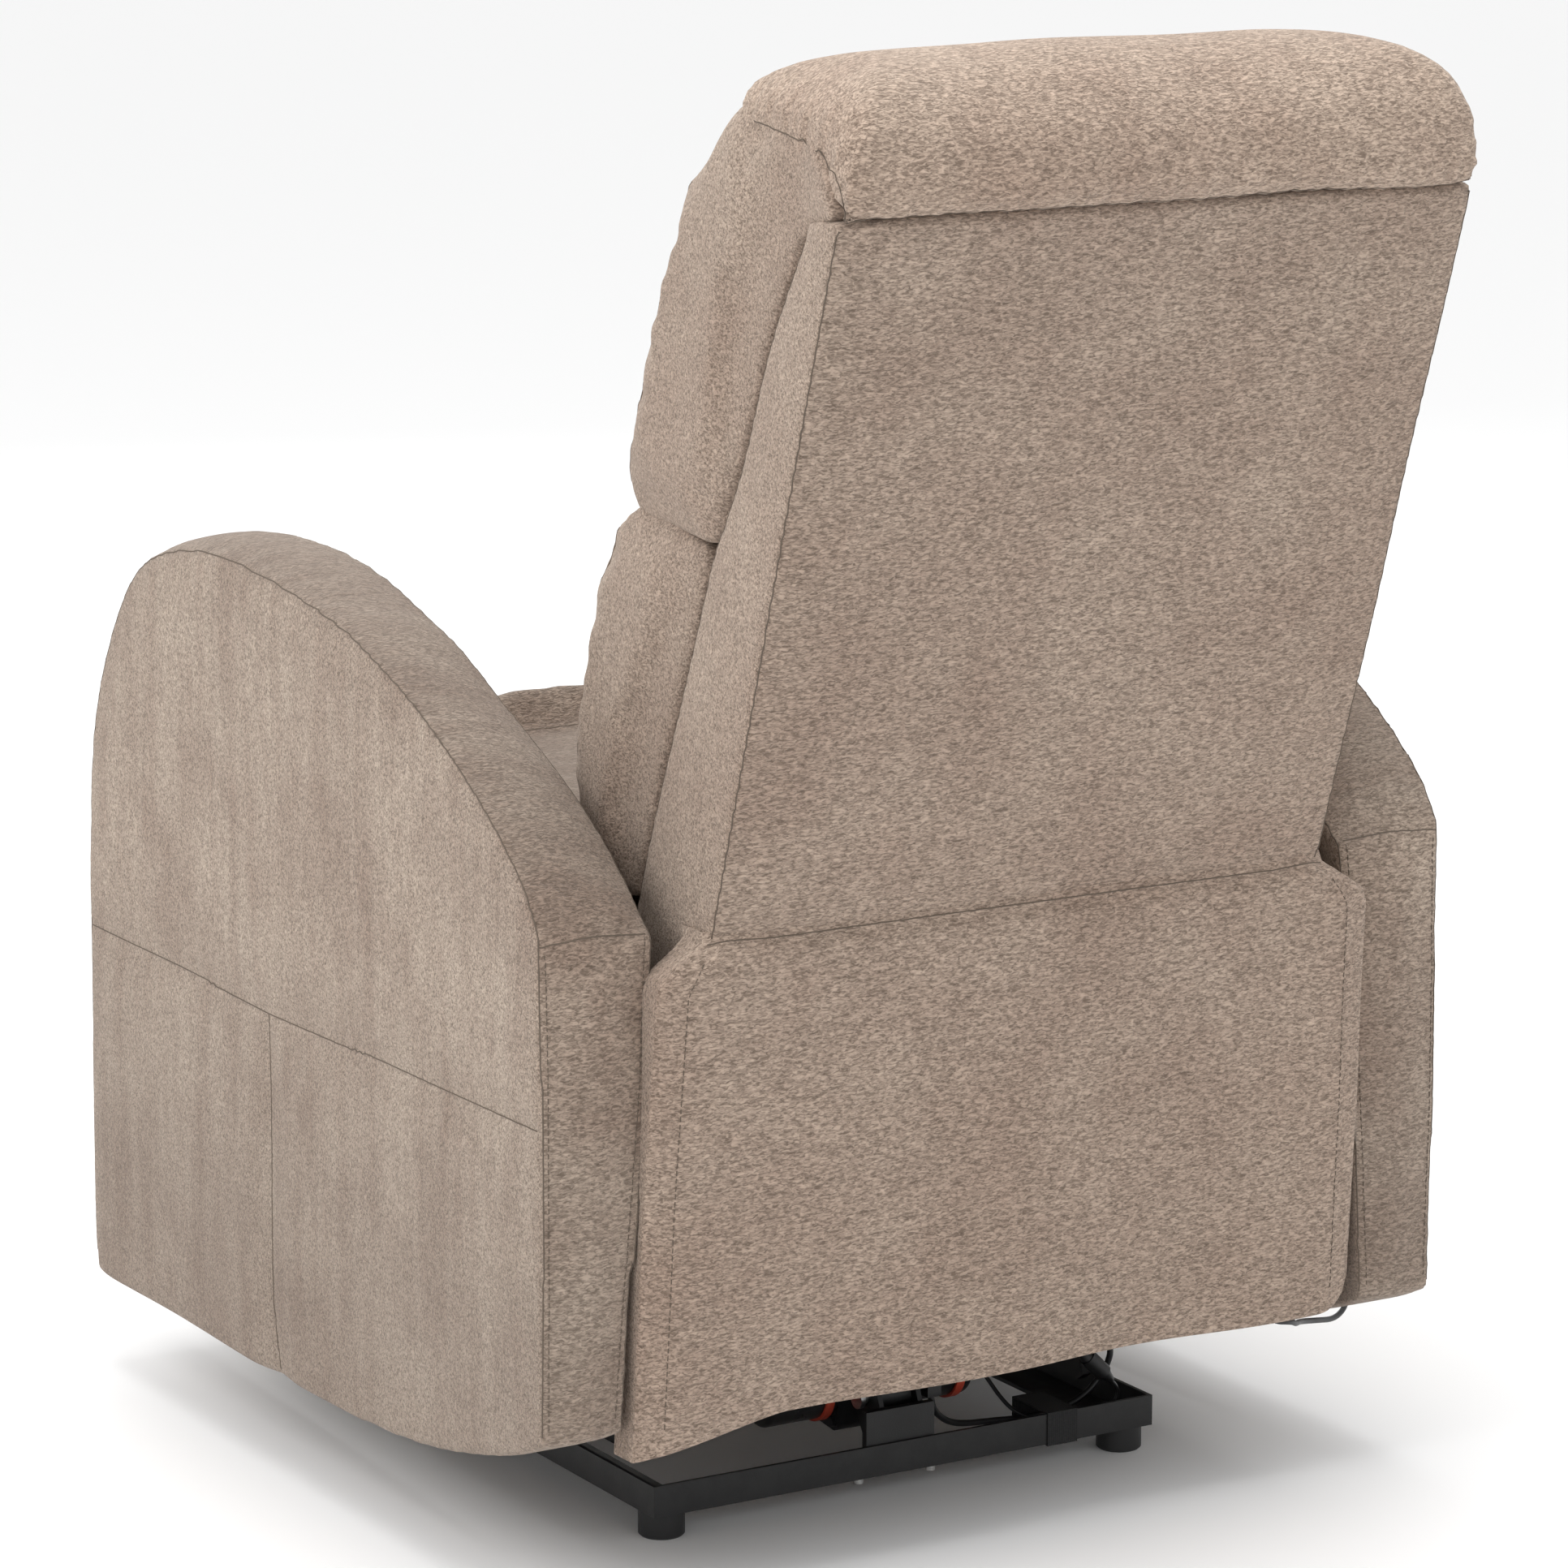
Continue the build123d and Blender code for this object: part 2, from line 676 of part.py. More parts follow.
def handset_body():
    thickness, width, height = HANDSET_SIZE
    x = (HANDSET_OUTER_X, HANDSET_OUTER_X + thickness)
    y = (HANDSET_Y - width / 2, HANDSET_Y + width / 2)
    body = block(x, y, (HANDSET_BASE_Z, HANDSET_BASE_Z + height))
    body = fillet(body.edges().filter_by(Axis.X), 10)
    for z in BUTTON_Z:
        body -= button_block(z, 0.4, 4)
    return body


def button_block(z, gap, depth):
    width, height = BUTTON_SIZE
    x = (HANDSET_OUTER_X - BUTTON_PROUD, HANDSET_OUTER_X + depth)
    y = (HANDSET_Y - width / 2 - gap, HANDSET_Y + width / 2 + gap)
    return block(x, y, (z - height / 2 - gap, z + height / 2 + gap))


def handset_pocket():
    """A flat sleeve on the outer face of the right arm, open at its top, slotted below."""
    half = HANDSET_SIZE[1] / 2 + 2
    y = (HANDSET_Y - half - CLOTH, HANDSET_Y + half + CLOTH)
    whole = block((POCKET_OUTER_X, -ARM_OUTER_X), y, POCKET_Z)
    hollow_y = (HANDSET_Y - half, HANDSET_Y + half)
    hollow = block((POCKET_OUTER_X + CLOTH, -ARM_OUTER_X), hollow_y, (POCKET_Z[0] + 2, POCKET_Z[1]))
    slot = block((POCKET_OUTER_X + 2, -ARM_OUTER_X), (HANDSET_Y - 8, HANDSET_Y + 8), (POCKET_Z[0], POCKET_Z[0] + 2))
    return whole - hollow - slot


# ---- leads ----------------------------------------------------------------------------------------


def bend_radii(points):
    """The largest arc for each corner: 0.45 of the shorter run over the tangent of half the turn."""
    radii = []
    for before, here, after in zip(points, points[1:], points[2:]):
        run_in, run_out = Vector(*here) - Vector(*before), Vector(*after) - Vector(*here)
        turn = math.radians(run_in.get_angle(run_out))
        radii.append(0.45 * min(run_in.length, run_out.length) / math.tan(turn / 2))
    return radii


def lead(points, diameter, name):
    """A round lead along straight runs joined by tangent arcs."""
    radii = bend_radii(points)
    path = FilletPolyline(*points, radius=radii)
    tube = sweep(Plane(origin=path @ 0, z_dir=path % 0) * Circle(diameter / 2), path=path)
    expected = math.pi * diameter**2 / 4 * path.length
    print(
        f"{name}: length {path.length:.0f}, radii {[round(r) for r in radii]},"
        f" volume over section {tube.volume / expected:.4f}"
    )
    return tube


HANDSET_LEAD_ROUTE = [
    (-196, 10, 232), (-216, 10, 232), (-233, 34, 216), (-236, 92, 190), (-237, 150, 178), (-239, 200, 163),
    (-245, 238, 140), (-258, 262, 124), (-278, 262, 121), (-298, 238, 110), (-322, 210, 101), (-352, 190, 92),
    (-382, 176, 85), (-398, 170, 96), (-399, 160, 132), (-395, 148, 180), (-394, 136, 232), (-394, 120, 288),
    (-394, 98, 338), (-394, 62, 376), (-394, 22, 390), (-394.5, -4, 402), (-394.8, -10, 423), (-394.8, -10, 446),
]
CONNECTOR_TOP = (-174, 126, 80)
CONNECTOR_FOOT = (-204, 126, 50)
MOTOR_LEAD_UPPER_ROUTE = [
    (-187, 84, 98), (-187, 98, 98), (-182, 109, 106), (-172, 115, 117), (-157, 119, 123), (-143, 123, 117),
    (-139, 126, 106), (-148, 126, 97), (-160, 126, 94), CONNECTOR_TOP,
]
MOTOR_LEAD_LOWER_ROUTE = [
    CONNECTOR_FOOT, (-209.3, 126, 44.6), (-210.6, 126, 38.1), (-208, 126, 31.8), (-202.4, 126, 28.2),
    (-190, 127, 27.6), (-168, 128, 27), (-150, 127, 27), (-134, 123, 29), (-122, 114, 35), (-116, 103, 45),
    (-112, 92, 57), (-107.5, 83.5, 66.5), (-100, 80, 72), (-92, 80, 72),
]
SUPPLY_LEAD_ROUTE = [
    (-187, 84, 88), (-187, 99, 88), (-193, 112, 88), (-203, 119, 84), (-208, 120, 73), (-207, 117, 61),
    (-200, 115, 49), (-187, 115, 38), (-168, 116, 31.5), (-146, 117, 29.5), (-124, 115, 29), (-103, 111, 29.5),
    (-84, 109, 30), (-68, 109, 33), (-56, 109, 41), (-50, 109, 51), (-50, 109, 58),
]


def connector():
    """The in-line plug and socket: a round body with tapered ends."""
    start, end = Vector(*CONNECTOR_TOP), Vector(*CONNECTOR_FOOT)
    length = (end - start).length
    line = Plane(origin=start, z_dir=end - start)
    taper = length * 0.25
    body = line * Pos(0, 0, length / 2) * Cylinder(7, length - 2 * taper)
    first = line * Pos(0, 0, taper / 2) * Cone(3, 6, taper)
    second = line * Pos(0, 0, length - taper / 2) * Cone(6, 3, taper)
    return body + first + second


def lead_clip():
    """The saddle that holds both leads to the inner face of the right lift arm."""
    return block((-LIFT_ARM_X[0], -LIFT_ARM_X[0] + 6), (78, 84), (83, 102))


def build():
    """Write every sub-part to its own file."""
    os.makedirs("parts", exist_ok=True)
    save(both_sides(base_rail()), "base_rails")
    rear_bar = crossbar(CROSSBAR_REAR_Y, CROSSBAR_REAR_Y - 30, RAIL_OUTER_X)
    front_bar = crossbar(RAIL_FRONT_Y - SHEET, RAIL_FRONT_Y + 27, RAIL_OUTER_X)
    save(rear_bar, "base_rear_crossbar")
    save(front_bar, "base_front_crossbar")
    save(base_feet(), "base_feet")
    save(both_sides(pivot_lug()), "pivot_lugs")
    save(base_pivot_pins(), "base_pivot_pins")
    save(actuator_clevis(), "actuator_clevis")
    save(group(clevis_pin(), clevis_bolts()), "clevis_fasteners")
    save(cable_strap(), "cable_strap")

    save(both_sides(lift_arm()), "lift_arms")
    save(torque_tube(), "torque_tube")
    save(group(rod_lugs(), rod_pin()), "rod_lugs")
    save(lead_clip(), "lead_clip")
    save(both_sides(tilt_link()), "tilt_links")
    save(actuator_housing(), "actuator_housing")
    save(actuator_motor(), "actuator_motor")
    save(motor_rings(), "motor_rings")
    save(group(motor_plate(), motor_plate_screws()), "motor_plate")
    save(actuator_tube(), "actuator_tube")
    save(actuator_rod(), "actuator_rod")
    save(rod_eye(), "rod_eye")

    save(group(cross_tube(REAR_TUBE_Y), cross_tube(FRONT_TUBE_Y)), "cross_tubes")
    arm_hanger = hanger(ARM_REAR_PIVOT, 18, ARM_HANGER_X, REAR_TUBE_Y)
    link_hanger = hanger(LINK_REAR_PIVOT, 16, LINK_HANGER_X, FRONT_TUBE_Y)
    save(both_sides(group(arm_hanger, link_hanger)), "lift_hangers")
    save(both_sides(mechanism_plate()), "mechanism_plates")
    save(group(hanger_pins(), back_pivot_pins(), footrest_pins()), "chair_pivot_pins")
    save(both_sides(wood_side_rail()), "seat_side_rails")
    save(group(wood_cross_rail((-425, -397)), wood_cross_rail((158, 184))), "seat_cross_rails")
    save(seat_springs(), "seat_springs")
    save(seat_cushion(), "seat_cushion")
    save(arm_brackets(), "arm_brackets")
    save(control_box(), "control_box")
    save(power_inlet(), "power_inlet")

    save(both_sides(arm_panel()), "arm_panels")
    save(arm_inner_pad(), "left_arm_inner_pad")
    save(arm_outer_pad(), "left_arm_outer_pad")
    save(other_side(arm_inner_pad()), "right_arm_inner_pad")
    save(other_side(arm_outer_pad()), "right_arm_outer_pad")
    save(rear_skirt(), "rear_skirt")

    save(back_frame(), "back_frame")
    save(back_webbing(), "back_webbing")
    save(both_sides(back_bracket()), "back_brackets")
    save(back_rear_panel(), "back_rear_panel")
    save(both_sides(back_gusset()), "back_gussets")
    save(lumbar_pillow(), "lumbar_pillow")
    save(head_pillow(), "head_pillow")
    save(top_band(), "top_band")

    save(both_sides(pivoted_bar(FOOTREST_PIVOT, KNEE, LOWER_LINK_X)), "footrest_lower_links")
    upper_link = pivoted_bar(KNEE, BOARD_PIVOT, UPPER_LINK_X) - rod_x(KNEE, UPPER_LINK_X, PIN_R)
    save(group(both_sides(upper_link), knee_pins()), "footrest_upper_links")
    save(group(both_sides(footrest_ear()), board_pins()), "footrest_ears")
    save(footrest_board(), "footrest_board")
    save(footrest_pad(), "footrest_pad")

    save(handset_body(), "handset_body")
    save(button_block(BUTTON_Z[1], 0, 2), "raise_button")
    save(button_block(BUTTON_Z[0], 0, 2), "lower_button")
    save(handset_pocket(), "handset_pocket")
    save(lead(HANDSET_LEAD_ROUTE, HANDSET_LEAD_D, "handset_lead"), "handset_lead")
    save(lead(MOTOR_LEAD_UPPER_ROUTE, MOTOR_LEAD_D, "motor_lead_upper"), "motor_lead_upper")
    save(lead(MOTOR_LEAD_LOWER_ROUTE, MOTOR_LEAD_D, "motor_lead_lower"), "motor_lead_lower")
    save(lead(SUPPLY_LEAD_ROUTE, SUPPLY_LEAD_D, "supply_lead"), "supply_lead")
    save(connector(), "lead_connector")


build()
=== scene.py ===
"""The looks of a lift recliner chair in taupe chenille, seen from behind and to the sitter's left."""

import json
import math

import bmesh
import bpy
import numpy as np
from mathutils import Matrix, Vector, kdtree, noise
from mathutils.bvhtree import BVHTree


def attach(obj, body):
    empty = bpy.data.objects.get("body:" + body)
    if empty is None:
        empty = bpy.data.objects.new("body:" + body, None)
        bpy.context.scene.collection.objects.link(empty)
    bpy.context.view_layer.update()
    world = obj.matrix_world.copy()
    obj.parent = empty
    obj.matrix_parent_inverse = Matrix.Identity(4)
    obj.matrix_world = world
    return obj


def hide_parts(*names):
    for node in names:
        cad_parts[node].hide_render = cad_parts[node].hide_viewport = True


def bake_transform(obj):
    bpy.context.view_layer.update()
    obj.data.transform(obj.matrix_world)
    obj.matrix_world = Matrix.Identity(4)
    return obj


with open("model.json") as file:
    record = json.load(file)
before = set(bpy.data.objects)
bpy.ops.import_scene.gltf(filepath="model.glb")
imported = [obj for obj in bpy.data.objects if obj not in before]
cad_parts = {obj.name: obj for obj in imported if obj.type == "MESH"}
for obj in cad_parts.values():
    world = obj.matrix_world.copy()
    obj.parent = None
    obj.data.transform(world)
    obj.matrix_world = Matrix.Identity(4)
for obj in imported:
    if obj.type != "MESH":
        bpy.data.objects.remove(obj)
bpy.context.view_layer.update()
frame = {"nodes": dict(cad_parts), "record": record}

# ---- sizes, in metres ---------------------------------------------------------------------------

ARM_OUTER_X = 0.3875
ARM_INNER_X = 0.290
ARM_REAR_Y = 0.295
ARM_SEAM_Z = 0.503
BACK_HALF = 0.262
BACK_FOOT = (0.313, 0.490)
BACK_HEAD = (0.481, 1.003)
HANDSET_Y = -0.010

TOP_Z = 1.107
TOP_CORNER = 0.092

SEAM_RADIUS = 0.00055
STITCH_RADIUS = 0.0004
STITCH_LENGTH = 0.0042
STITCH_GAP = 0.0014
SLIM_LEAD = 0.0032
HANDSET_LEAD_DIAMETER = 0.0045
SUPPLY_LEAD_DIAMETER = 0.005
SKIRT_THICKNESS = 0.005
POCKET_THICKNESS = 0.0015

CHENILLE_LIGHT = (0.342, 0.268, 0.217, 1)
CHENILLE_DARK = (0.284, 0.210, 0.167, 1)
# The top roll's tones are the rear cloth's, painted lighter as light from above.
LIT_BAND_LIGHT = (0.400, 0.314, 0.254, 1)
LIT_BAND_DARK = (0.332, 0.246, 0.195, 1)
ARM_LIGHT = (0.350, 0.283, 0.231, 1)
ARM_DARK = (0.240, 0.177, 0.140, 1)
# Dark brown that the cloth is blended to where shade is painted on it.
PAINTED_SHADE_BROWN = (0.10, 0.075, 0.06, 1)
# Brown for the sewn stitches and for the seam lines, which are painted shade in the seam grooves.
THREAD_AND_SEAM_SHADE_BROWN = (0.105, 0.080, 0.060, 1)

CAMERA_TARGET = (0, -0.025, 0.5216)
CAMERA_AZIMUTH, CAMERA_ELEVATION = math.radians(149.283), math.radians(11.52)
CAMERA_DISTANCE = 4.5195
CAMERA_LENS, CAMERA_SENSOR = 135.9, 36
CAMERA_SHIFT = (-0.0008, -0.0042)
FLOOR_REACH = 60
LAMP_AIM = (0, 0, 0.5)
LAMPS = [  # name, place, width in metres, power in watts
    ("key", (3.4, 0.2, 3.1), 2.4, 62),
    ("over", (0.1, 0.3, 4.0), 2.6, 62),
    ("front", (-1.5, -4.0, 2.6), 3.0, 25),
]


# ---- curves -------------------------------------------------------------------------------------


def eased(points, steps=6):
    """A smooth run through the points, in any number of dimensions."""
    p = [np.array(point, float) for point in points]
    p = [2 * p[0] - p[1], *p, 2 * p[-1] - p[-2]]
    run = []
    for a, b, c, d in zip(p, p[1:], p[2:], p[3:]):
        for t in np.arange(steps) / steps:
            run.append(
                0.5 * (2 * b + (c - a) * t + (2 * a - 5 * b + 4 * c - d) * t**2 + (3 * b - a - 3 * c + d) * t**3)
            )
    return [tuple(q) for q in run] + [tuple(p[-2])]


def spaced(points, gap):
    """The same run with a point every gap."""
    p = np.array(points, float)
    along = np.concatenate([[0], np.cumsum(np.linalg.norm(np.diff(p, axis=0), axis=1))])
    at = np.linspace(0, along[-1], max(2, int(along[-1] / gap) + 1))
    return [tuple(np.interp(s, along, p[:, k]) for k in range(3)) for s in at]


def at_x(x, outline):
    """A (y, z) outline set at one place across the chair."""
    return [(x, y, z) for y, z in outline]


def mirrored(points):
    """The same run on the other side of the chair."""
    return [(-x, y, z) for x, y, z in points]


# ---- meshes -------------------------------------------------------------------------------------


def new_piece(name, verts, faces):
    mesh = bpy.data.meshes.new(name)
    mesh.from_pydata([tuple(v) for v in verts], [], faces)
    mesh.update()
    piece = bpy.data.objects.new(name, mesh)
    bpy.context.collection.objects.link(piece)
    return piece


def between_outlines(name, outlines):
    """A closed solid through outlines of equal length, from the first to the last."""
    count = len(outlines[0])
    verts = [point for outline in outlines for point in outline]
    faces = [tuple(range(count))[::-1], tuple(range(len(verts) - count, len(verts)))]
    for ring in range(len(outlines) - 1):
        for k in range(count):
            a, b = ring * count + k, ring * count + (k + 1) % count
            faces.append((a, b, b + count, a + count))
    piece = new_piece(name, verts, faces)
    knit = bmesh.new()
    knit.from_mesh(piece.data)
    bmesh.ops.recalc_face_normals(knit, faces=knit.faces)
    knit.to_mesh(piece.data)
    knit.free()
    return piece


def settle(piece):
    """Turns the piece's modifiers into its mesh."""
    seen = piece.evaluated_get(bpy.context.evaluated_depsgraph_get())
    mesh = bpy.data.meshes.new_from_object(seen)
    piece.modifiers.clear()
    piece.data = mesh


def knitted(piece, voxel, smoothing):
    """Even small faces all over, and softened edges."""
    remesh = piece.modifiers.new("knit", "REMESH")
    remesh.mode, remesh.voxel_size = "VOXEL", voxel
    soften = piece.modifiers.new("soften", "SMOOTH")
    soften.factor, soften.iterations = 0.5, smoothing
    settle(piece)


def refined(piece):
    """Smaller, rounder faces after stuffing."""
    finer = piece.modifiers.new("finer", "SUBSURF")
    finer.levels = finer.render_levels = 1
    settle(piece)


def shade_smooth(piece):
    piece.data.polygons.foreach_set("use_smooth", [True] * len(piece.data.polygons))
    piece.data.update()


def points_of(piece):
    flat = np.empty(len(piece.data.vertices) * 3)
    piece.data.vertices.foreach_get("co", flat)
    return flat.reshape(-1, 3)


def normals_of(piece):
    flat = np.empty(len(piece.data.vertices) * 3)
    piece.data.vertex_normals.foreach_get("vector", flat)
    return flat.reshape(-1, 3)


def put_points(piece, points):
    piece.data.vertices.foreach_set("co", points.ravel())
    piece.data.update()


def stuffed(piece, pressure, most, frames=20):
    """Cloth under pressure swells the piece, and no point moves further than most."""
    before = points_of(piece)
    cloth = piece.modifiers.new("stuffing", "CLOTH")
    cloth.settings.quality = 5
    cloth.settings.mass = 0.4
    cloth.settings.tension_stiffness = cloth.settings.compression_stiffness = 25
    cloth.settings.use_pressure = True
    cloth.settings.uniform_pressure_force = pressure
    cloth.settings.effector_weights.gravity = 0
    cloth.collision_settings.use_self_collision = False
    cloth.point_cache.frame_start, cloth.point_cache.frame_end = 1, frames
    for number in range(1, frames + 1):
        bpy.context.scene.frame_set(number)
    settle(piece)
    bpy.context.scene.frame_set(1)
    moved = points_of(piece) - before
    far = np.linalg.norm(moved, axis=1, keepdims=True)
    put_points(piece, before + moved * np.minimum(1, most / np.maximum(far, 1e-9)))


def near_seams(piece, seams):
    """How far each vertex is from the nearest seam, and how far along the seams that is."""
    run = [point for seam in seams for point in spaced(seam, 0.003)]
    tree = kdtree.KDTree(len(run))
    for number, point in enumerate(run):
        tree.insert(point, number)
    tree.balance()
    found = [tree.find(v.co) for v in piece.data.vertices]
    return np.array([f[2] for f in found]), np.array([f[1] for f in found]) * 0.003


def pull_in(piece, seams, reach, depth, gather=0.0, pitch=0.016):
    """Draws the cloth in along its seams: a wide swell away from each and small gathers across it."""
    far, along = near_seams(piece, seams)
    dip = depth * np.exp(-((far / reach) ** 2))
    if gather:
        wave = np.sin(2 * math.pi * along / pitch) * np.sin(2 * math.pi * along / (2.7 * pitch) + 1.3)
        dip += gather * wave * np.exp(-((far / (1.6 * reach)) ** 2)) * np.minimum(1, far / 0.006)
    put_points(piece, points_of(piece) - normals_of(piece) * dip[:, None])


def uneven(piece, size, height, seed):
    """Slow swells, as cloth over wadding has."""
    points, normals = points_of(piece), normals_of(piece)
    swell = np.array([noise.noise(Vector(p / size) + Vector((seed, 0, 0))) for p in points])
    put_points(piece, points + normals * (height * swell)[:, None])


def surface(piece):
    return BVHTree.FromObject(piece, bpy.context.evaluated_depsgraph_get())


def on_surface(tree, points, gap, lift):
    """The run laid on a surface, with the surface's normals."""
    laid, normals = [], []
    for point in spaced(points, gap):
        place, normal = tree.find_nearest(point)[:2]
        laid.append(place + normal * lift)
        normals.append(normal)
    return laid, normals


class Thread:
    """Sewing thread, and the dark seam lines that are painted shade, collected into one mesh for each body."""

    def __init__(self, name):
        self.name, self.verts, self.faces = name, [], []

    def tube(self, points, normals, radius, sides=6):
        """A closed round tube along the points."""
        first, count = len(self.verts), len(points)
        for k, (point, normal) in enumerate(zip(points, normals)):
            ahead = points[min(k + 1, count - 1)] - points[max(k - 1, 0)]
            across = ahead.cross(normal)
            across = across.normalized() if across.length > 1e-9 else Vector((1, 0, 0))
            for side in range(sides):
                turn = 2 * math.pi * side / sides
                self.verts.append(point + radius * (across * math.cos(turn) + normal * math.sin(turn)))
        for k in range(count - 1):
            for side in range(sides):
                a, b = first + k * sides + side, first + k * sides + (side + 1) % sides
                self.faces.append((a, b, b + sides, a + sides))
        self.faces.append(tuple(range(first, first + sides))[::-1])
        self.faces.append(tuple(range(first + (count - 1) * sides, first + count * sides)))

    def seam(self, piece, path, radius=SEAM_RADIUS):
        """One dark line down in the seam's groove: painted shade of the groove, drawn as a thin tube."""
        points, normals = on_surface(surface(piece), path, 0.004, -0.0001)
        self.tube(points, normals, radius)

    def stitches(self, piece, path, radius=STITCH_RADIUS, stitch=STITCH_LENGTH, gap=STITCH_GAP):
        """A row of short stitches that dip into the cloth at their ends."""
        points, normals = on_surface(surface(piece), path, stitch + gap, 0.0)
        for a, b, normal in zip(points, points[1:], normals):
            span = (b - a) * (stitch / (stitch + gap))
            run = [a - normal * 0.0004, a + span * 0.25 + normal * 0.0003, a + span * 0.75 + normal * 0.0003,
                   a + span - normal * 0.0004]
            self.tube(run, [normal] * 4, radius, sides=5)

    def finished(self, body):
        """All the thread and painted seam shade sewn so far, as one mesh that rides on the body."""
        piece = new_piece(self.name, self.verts, self.faces)
        shade_smooth(piece)
        give(piece, thread_and_seam_shade_brown)
        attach(piece, body)


# ---- materials ----------------------------------------------------------------------------------


def effect_group(name, inputs, outputs):
    """An empty shader group with named sockets."""
    group = bpy.data.node_groups.new(name, "ShaderNodeTree")
    for label, kind, value in inputs:
        socket = group.interface.new_socket(label, in_out="INPUT", socket_type=kind)
        socket.default_value = value
    for label, kind in outputs:
        group.interface.new_socket(label, in_out="OUTPUT", socket_type=kind)
    return group, group.nodes.new("NodeGroupInput"), group.nodes.new("NodeGroupOutput")


def noise_at(tree, stretch, scale, detail=2.0, roughness=0.55, distortion=0.0):
    """Noise on the object's own coordinates, stretched as given."""
    where = tree.nodes.new("ShaderNodeTexCoord")
    mapping = tree.nodes.new("ShaderNodeMapping")
    mapping.inputs["Scale"].default_value = stretch
    texture = tree.nodes.new("ShaderNodeTexNoise")
    texture.inputs["Scale"].default_value = scale
    texture.inputs["Detail"].default_value = detail
    texture.inputs["Roughness"].default_value = roughness
    texture.inputs["Distortion"].default_value = distortion
    tree.links.new(where.outputs["Object"], mapping.inputs["Vector"])
    tree.links.new(mapping.outputs["Vector"], texture.inputs["Vector"])
    return texture.outputs["Fac"]


def ranged(tree, value, low, high, to_low=0.0, to_high=1.0):
    """The value spread from one range to another, and held at its ends."""
    spread = tree.nodes.new("ShaderNodeMapRange")
    spread.inputs["From Min"].default_value = low
    spread.inputs["From Max"].default_value = high
    spread.inputs["To Min"].default_value = to_low
    spread.inputs["To Max"].default_value = to_high
    tree.links.new(value, spread.inputs["Value"])
    return spread.outputs["Result"]


def combined(tree, operation, a, b):
    """One step of arithmetic; each side is a socket or a number."""
    sum_node = tree.nodes.new("ShaderNodeMath")
    sum_node.operation = operation
    for socket, value in zip(sum_node.inputs, (a, b)):
        if isinstance(value, (int, float)):
            socket.default_value = value
        else:
            tree.links.new(value, socket)
    return sum_node.outputs[0]


def blended(tree, amount, a, b, mode="MIX"):
    """Mixes two colours; each is a socket or a colour."""
    mix = tree.nodes.new("ShaderNodeMix")
    mix.data_type, mix.blend_type = "RGBA", mode
    for socket, value in ((mix.inputs[0], amount), (mix.inputs[6], a), (mix.inputs[7], b)):
        if isinstance(value, (int, float, tuple)):
            socket.default_value = value
        else:
            tree.links.new(value, socket)
    return mix.outputs[2]


def chenille_group():
    """Short crosswise tufts, and a nap brushed into lighter and darker clouds and streaks.

    It also paints shade: one input darkens what faces up, and the other darkens the cloth towards the floor below
    0.46 m, both blending it to a dark brown.
    """
    group, given, out = effect_group(
        "chenille tufts",
        [("Light", "NodeSocketColor", CHENILLE_LIGHT), ("Dark", "NodeSocketColor", CHENILLE_DARK),
         ("Streaks", "NodeSocketFloat", 0.3), ("Painted shade on tops", "NodeSocketFloat", 0.0),
         ("Painted shade low down", "NodeSocketFloat", 0.0)],
        [("Color", "NodeSocketColor"), ("Height", "NodeSocketFloat"), ("Tufts", "NodeSocketFloat")],
    )
    tufts = noise_at(group, (0.36, 1, 1), 620, 2, 0.55, 0.8)
    clumps = noise_at(group, (0.40, 1, 1), 300, 2, 0.5, 0.5)
    clouds = noise_at(group, (1, 1, 1), 9, 4, 0.62)
    streaks = noise_at(group, (10, 44, 5), 1, 3, 0.6)
    nap = combined(group, "ADD", ranged(group, clouds, 0.3, 0.7),
                   combined(group, "MULTIPLY", ranged(group, streaks, 0.32, 0.68, -1, 1), given.outputs["Streaks"]))
    base = blended(group, ranged(group, nap, 0.0, 1.0), given.outputs["Dark"], given.outputs["Light"])
    tuft_range = ranged(group, tufts, 0.37, 0.63)
    relief = combined(group, "ADD", combined(group, "MULTIPLY", tuft_range, 0.72),
                      combined(group, "MULTIPLY", ranged(group, clumps, 0.3, 0.7), 0.28))
    tone = blended(group, relief, (0.40, 0.37, 0.34, 1), (1.50, 1.49, 1.46, 1))
    coords = group.nodes.new("ShaderNodeTexCoord")
    facing = group.nodes.new("ShaderNodeSeparateXYZ")
    place = group.nodes.new("ShaderNodeSeparateXYZ")
    group.links.new(coords.outputs["Normal"], facing.inputs["Vector"])
    group.links.new(coords.outputs["Object"], place.inputs["Vector"])
    # Painted shade: what faces up is blended towards the dark brown.
    crest = combined(group, "MULTIPLY", ranged(group, facing.outputs["Z"], 0.1, 1.0), given.outputs["Painted shade on tops"])
    # Painted shade: the cloth grows darker towards the floor, from 0.46 m down to 0.20 m.
    low = combined(group, "MULTIPLY", ranged(group, place.outputs["Z"], 0.20, 0.46, 1, 0), given.outputs["Painted shade low down"])
    cloth = blended(group, 1.0, base, tone, "MULTIPLY")
    shade = combined(group, "MAXIMUM", crest, low)
    group.links.new(blended(group, shade, cloth, PAINTED_SHADE_BROWN), out.inputs["Color"])
    group.links.new(relief, out.inputs["Height"])
    group.links.new(tuft_range, out.inputs["Tufts"])
    return group


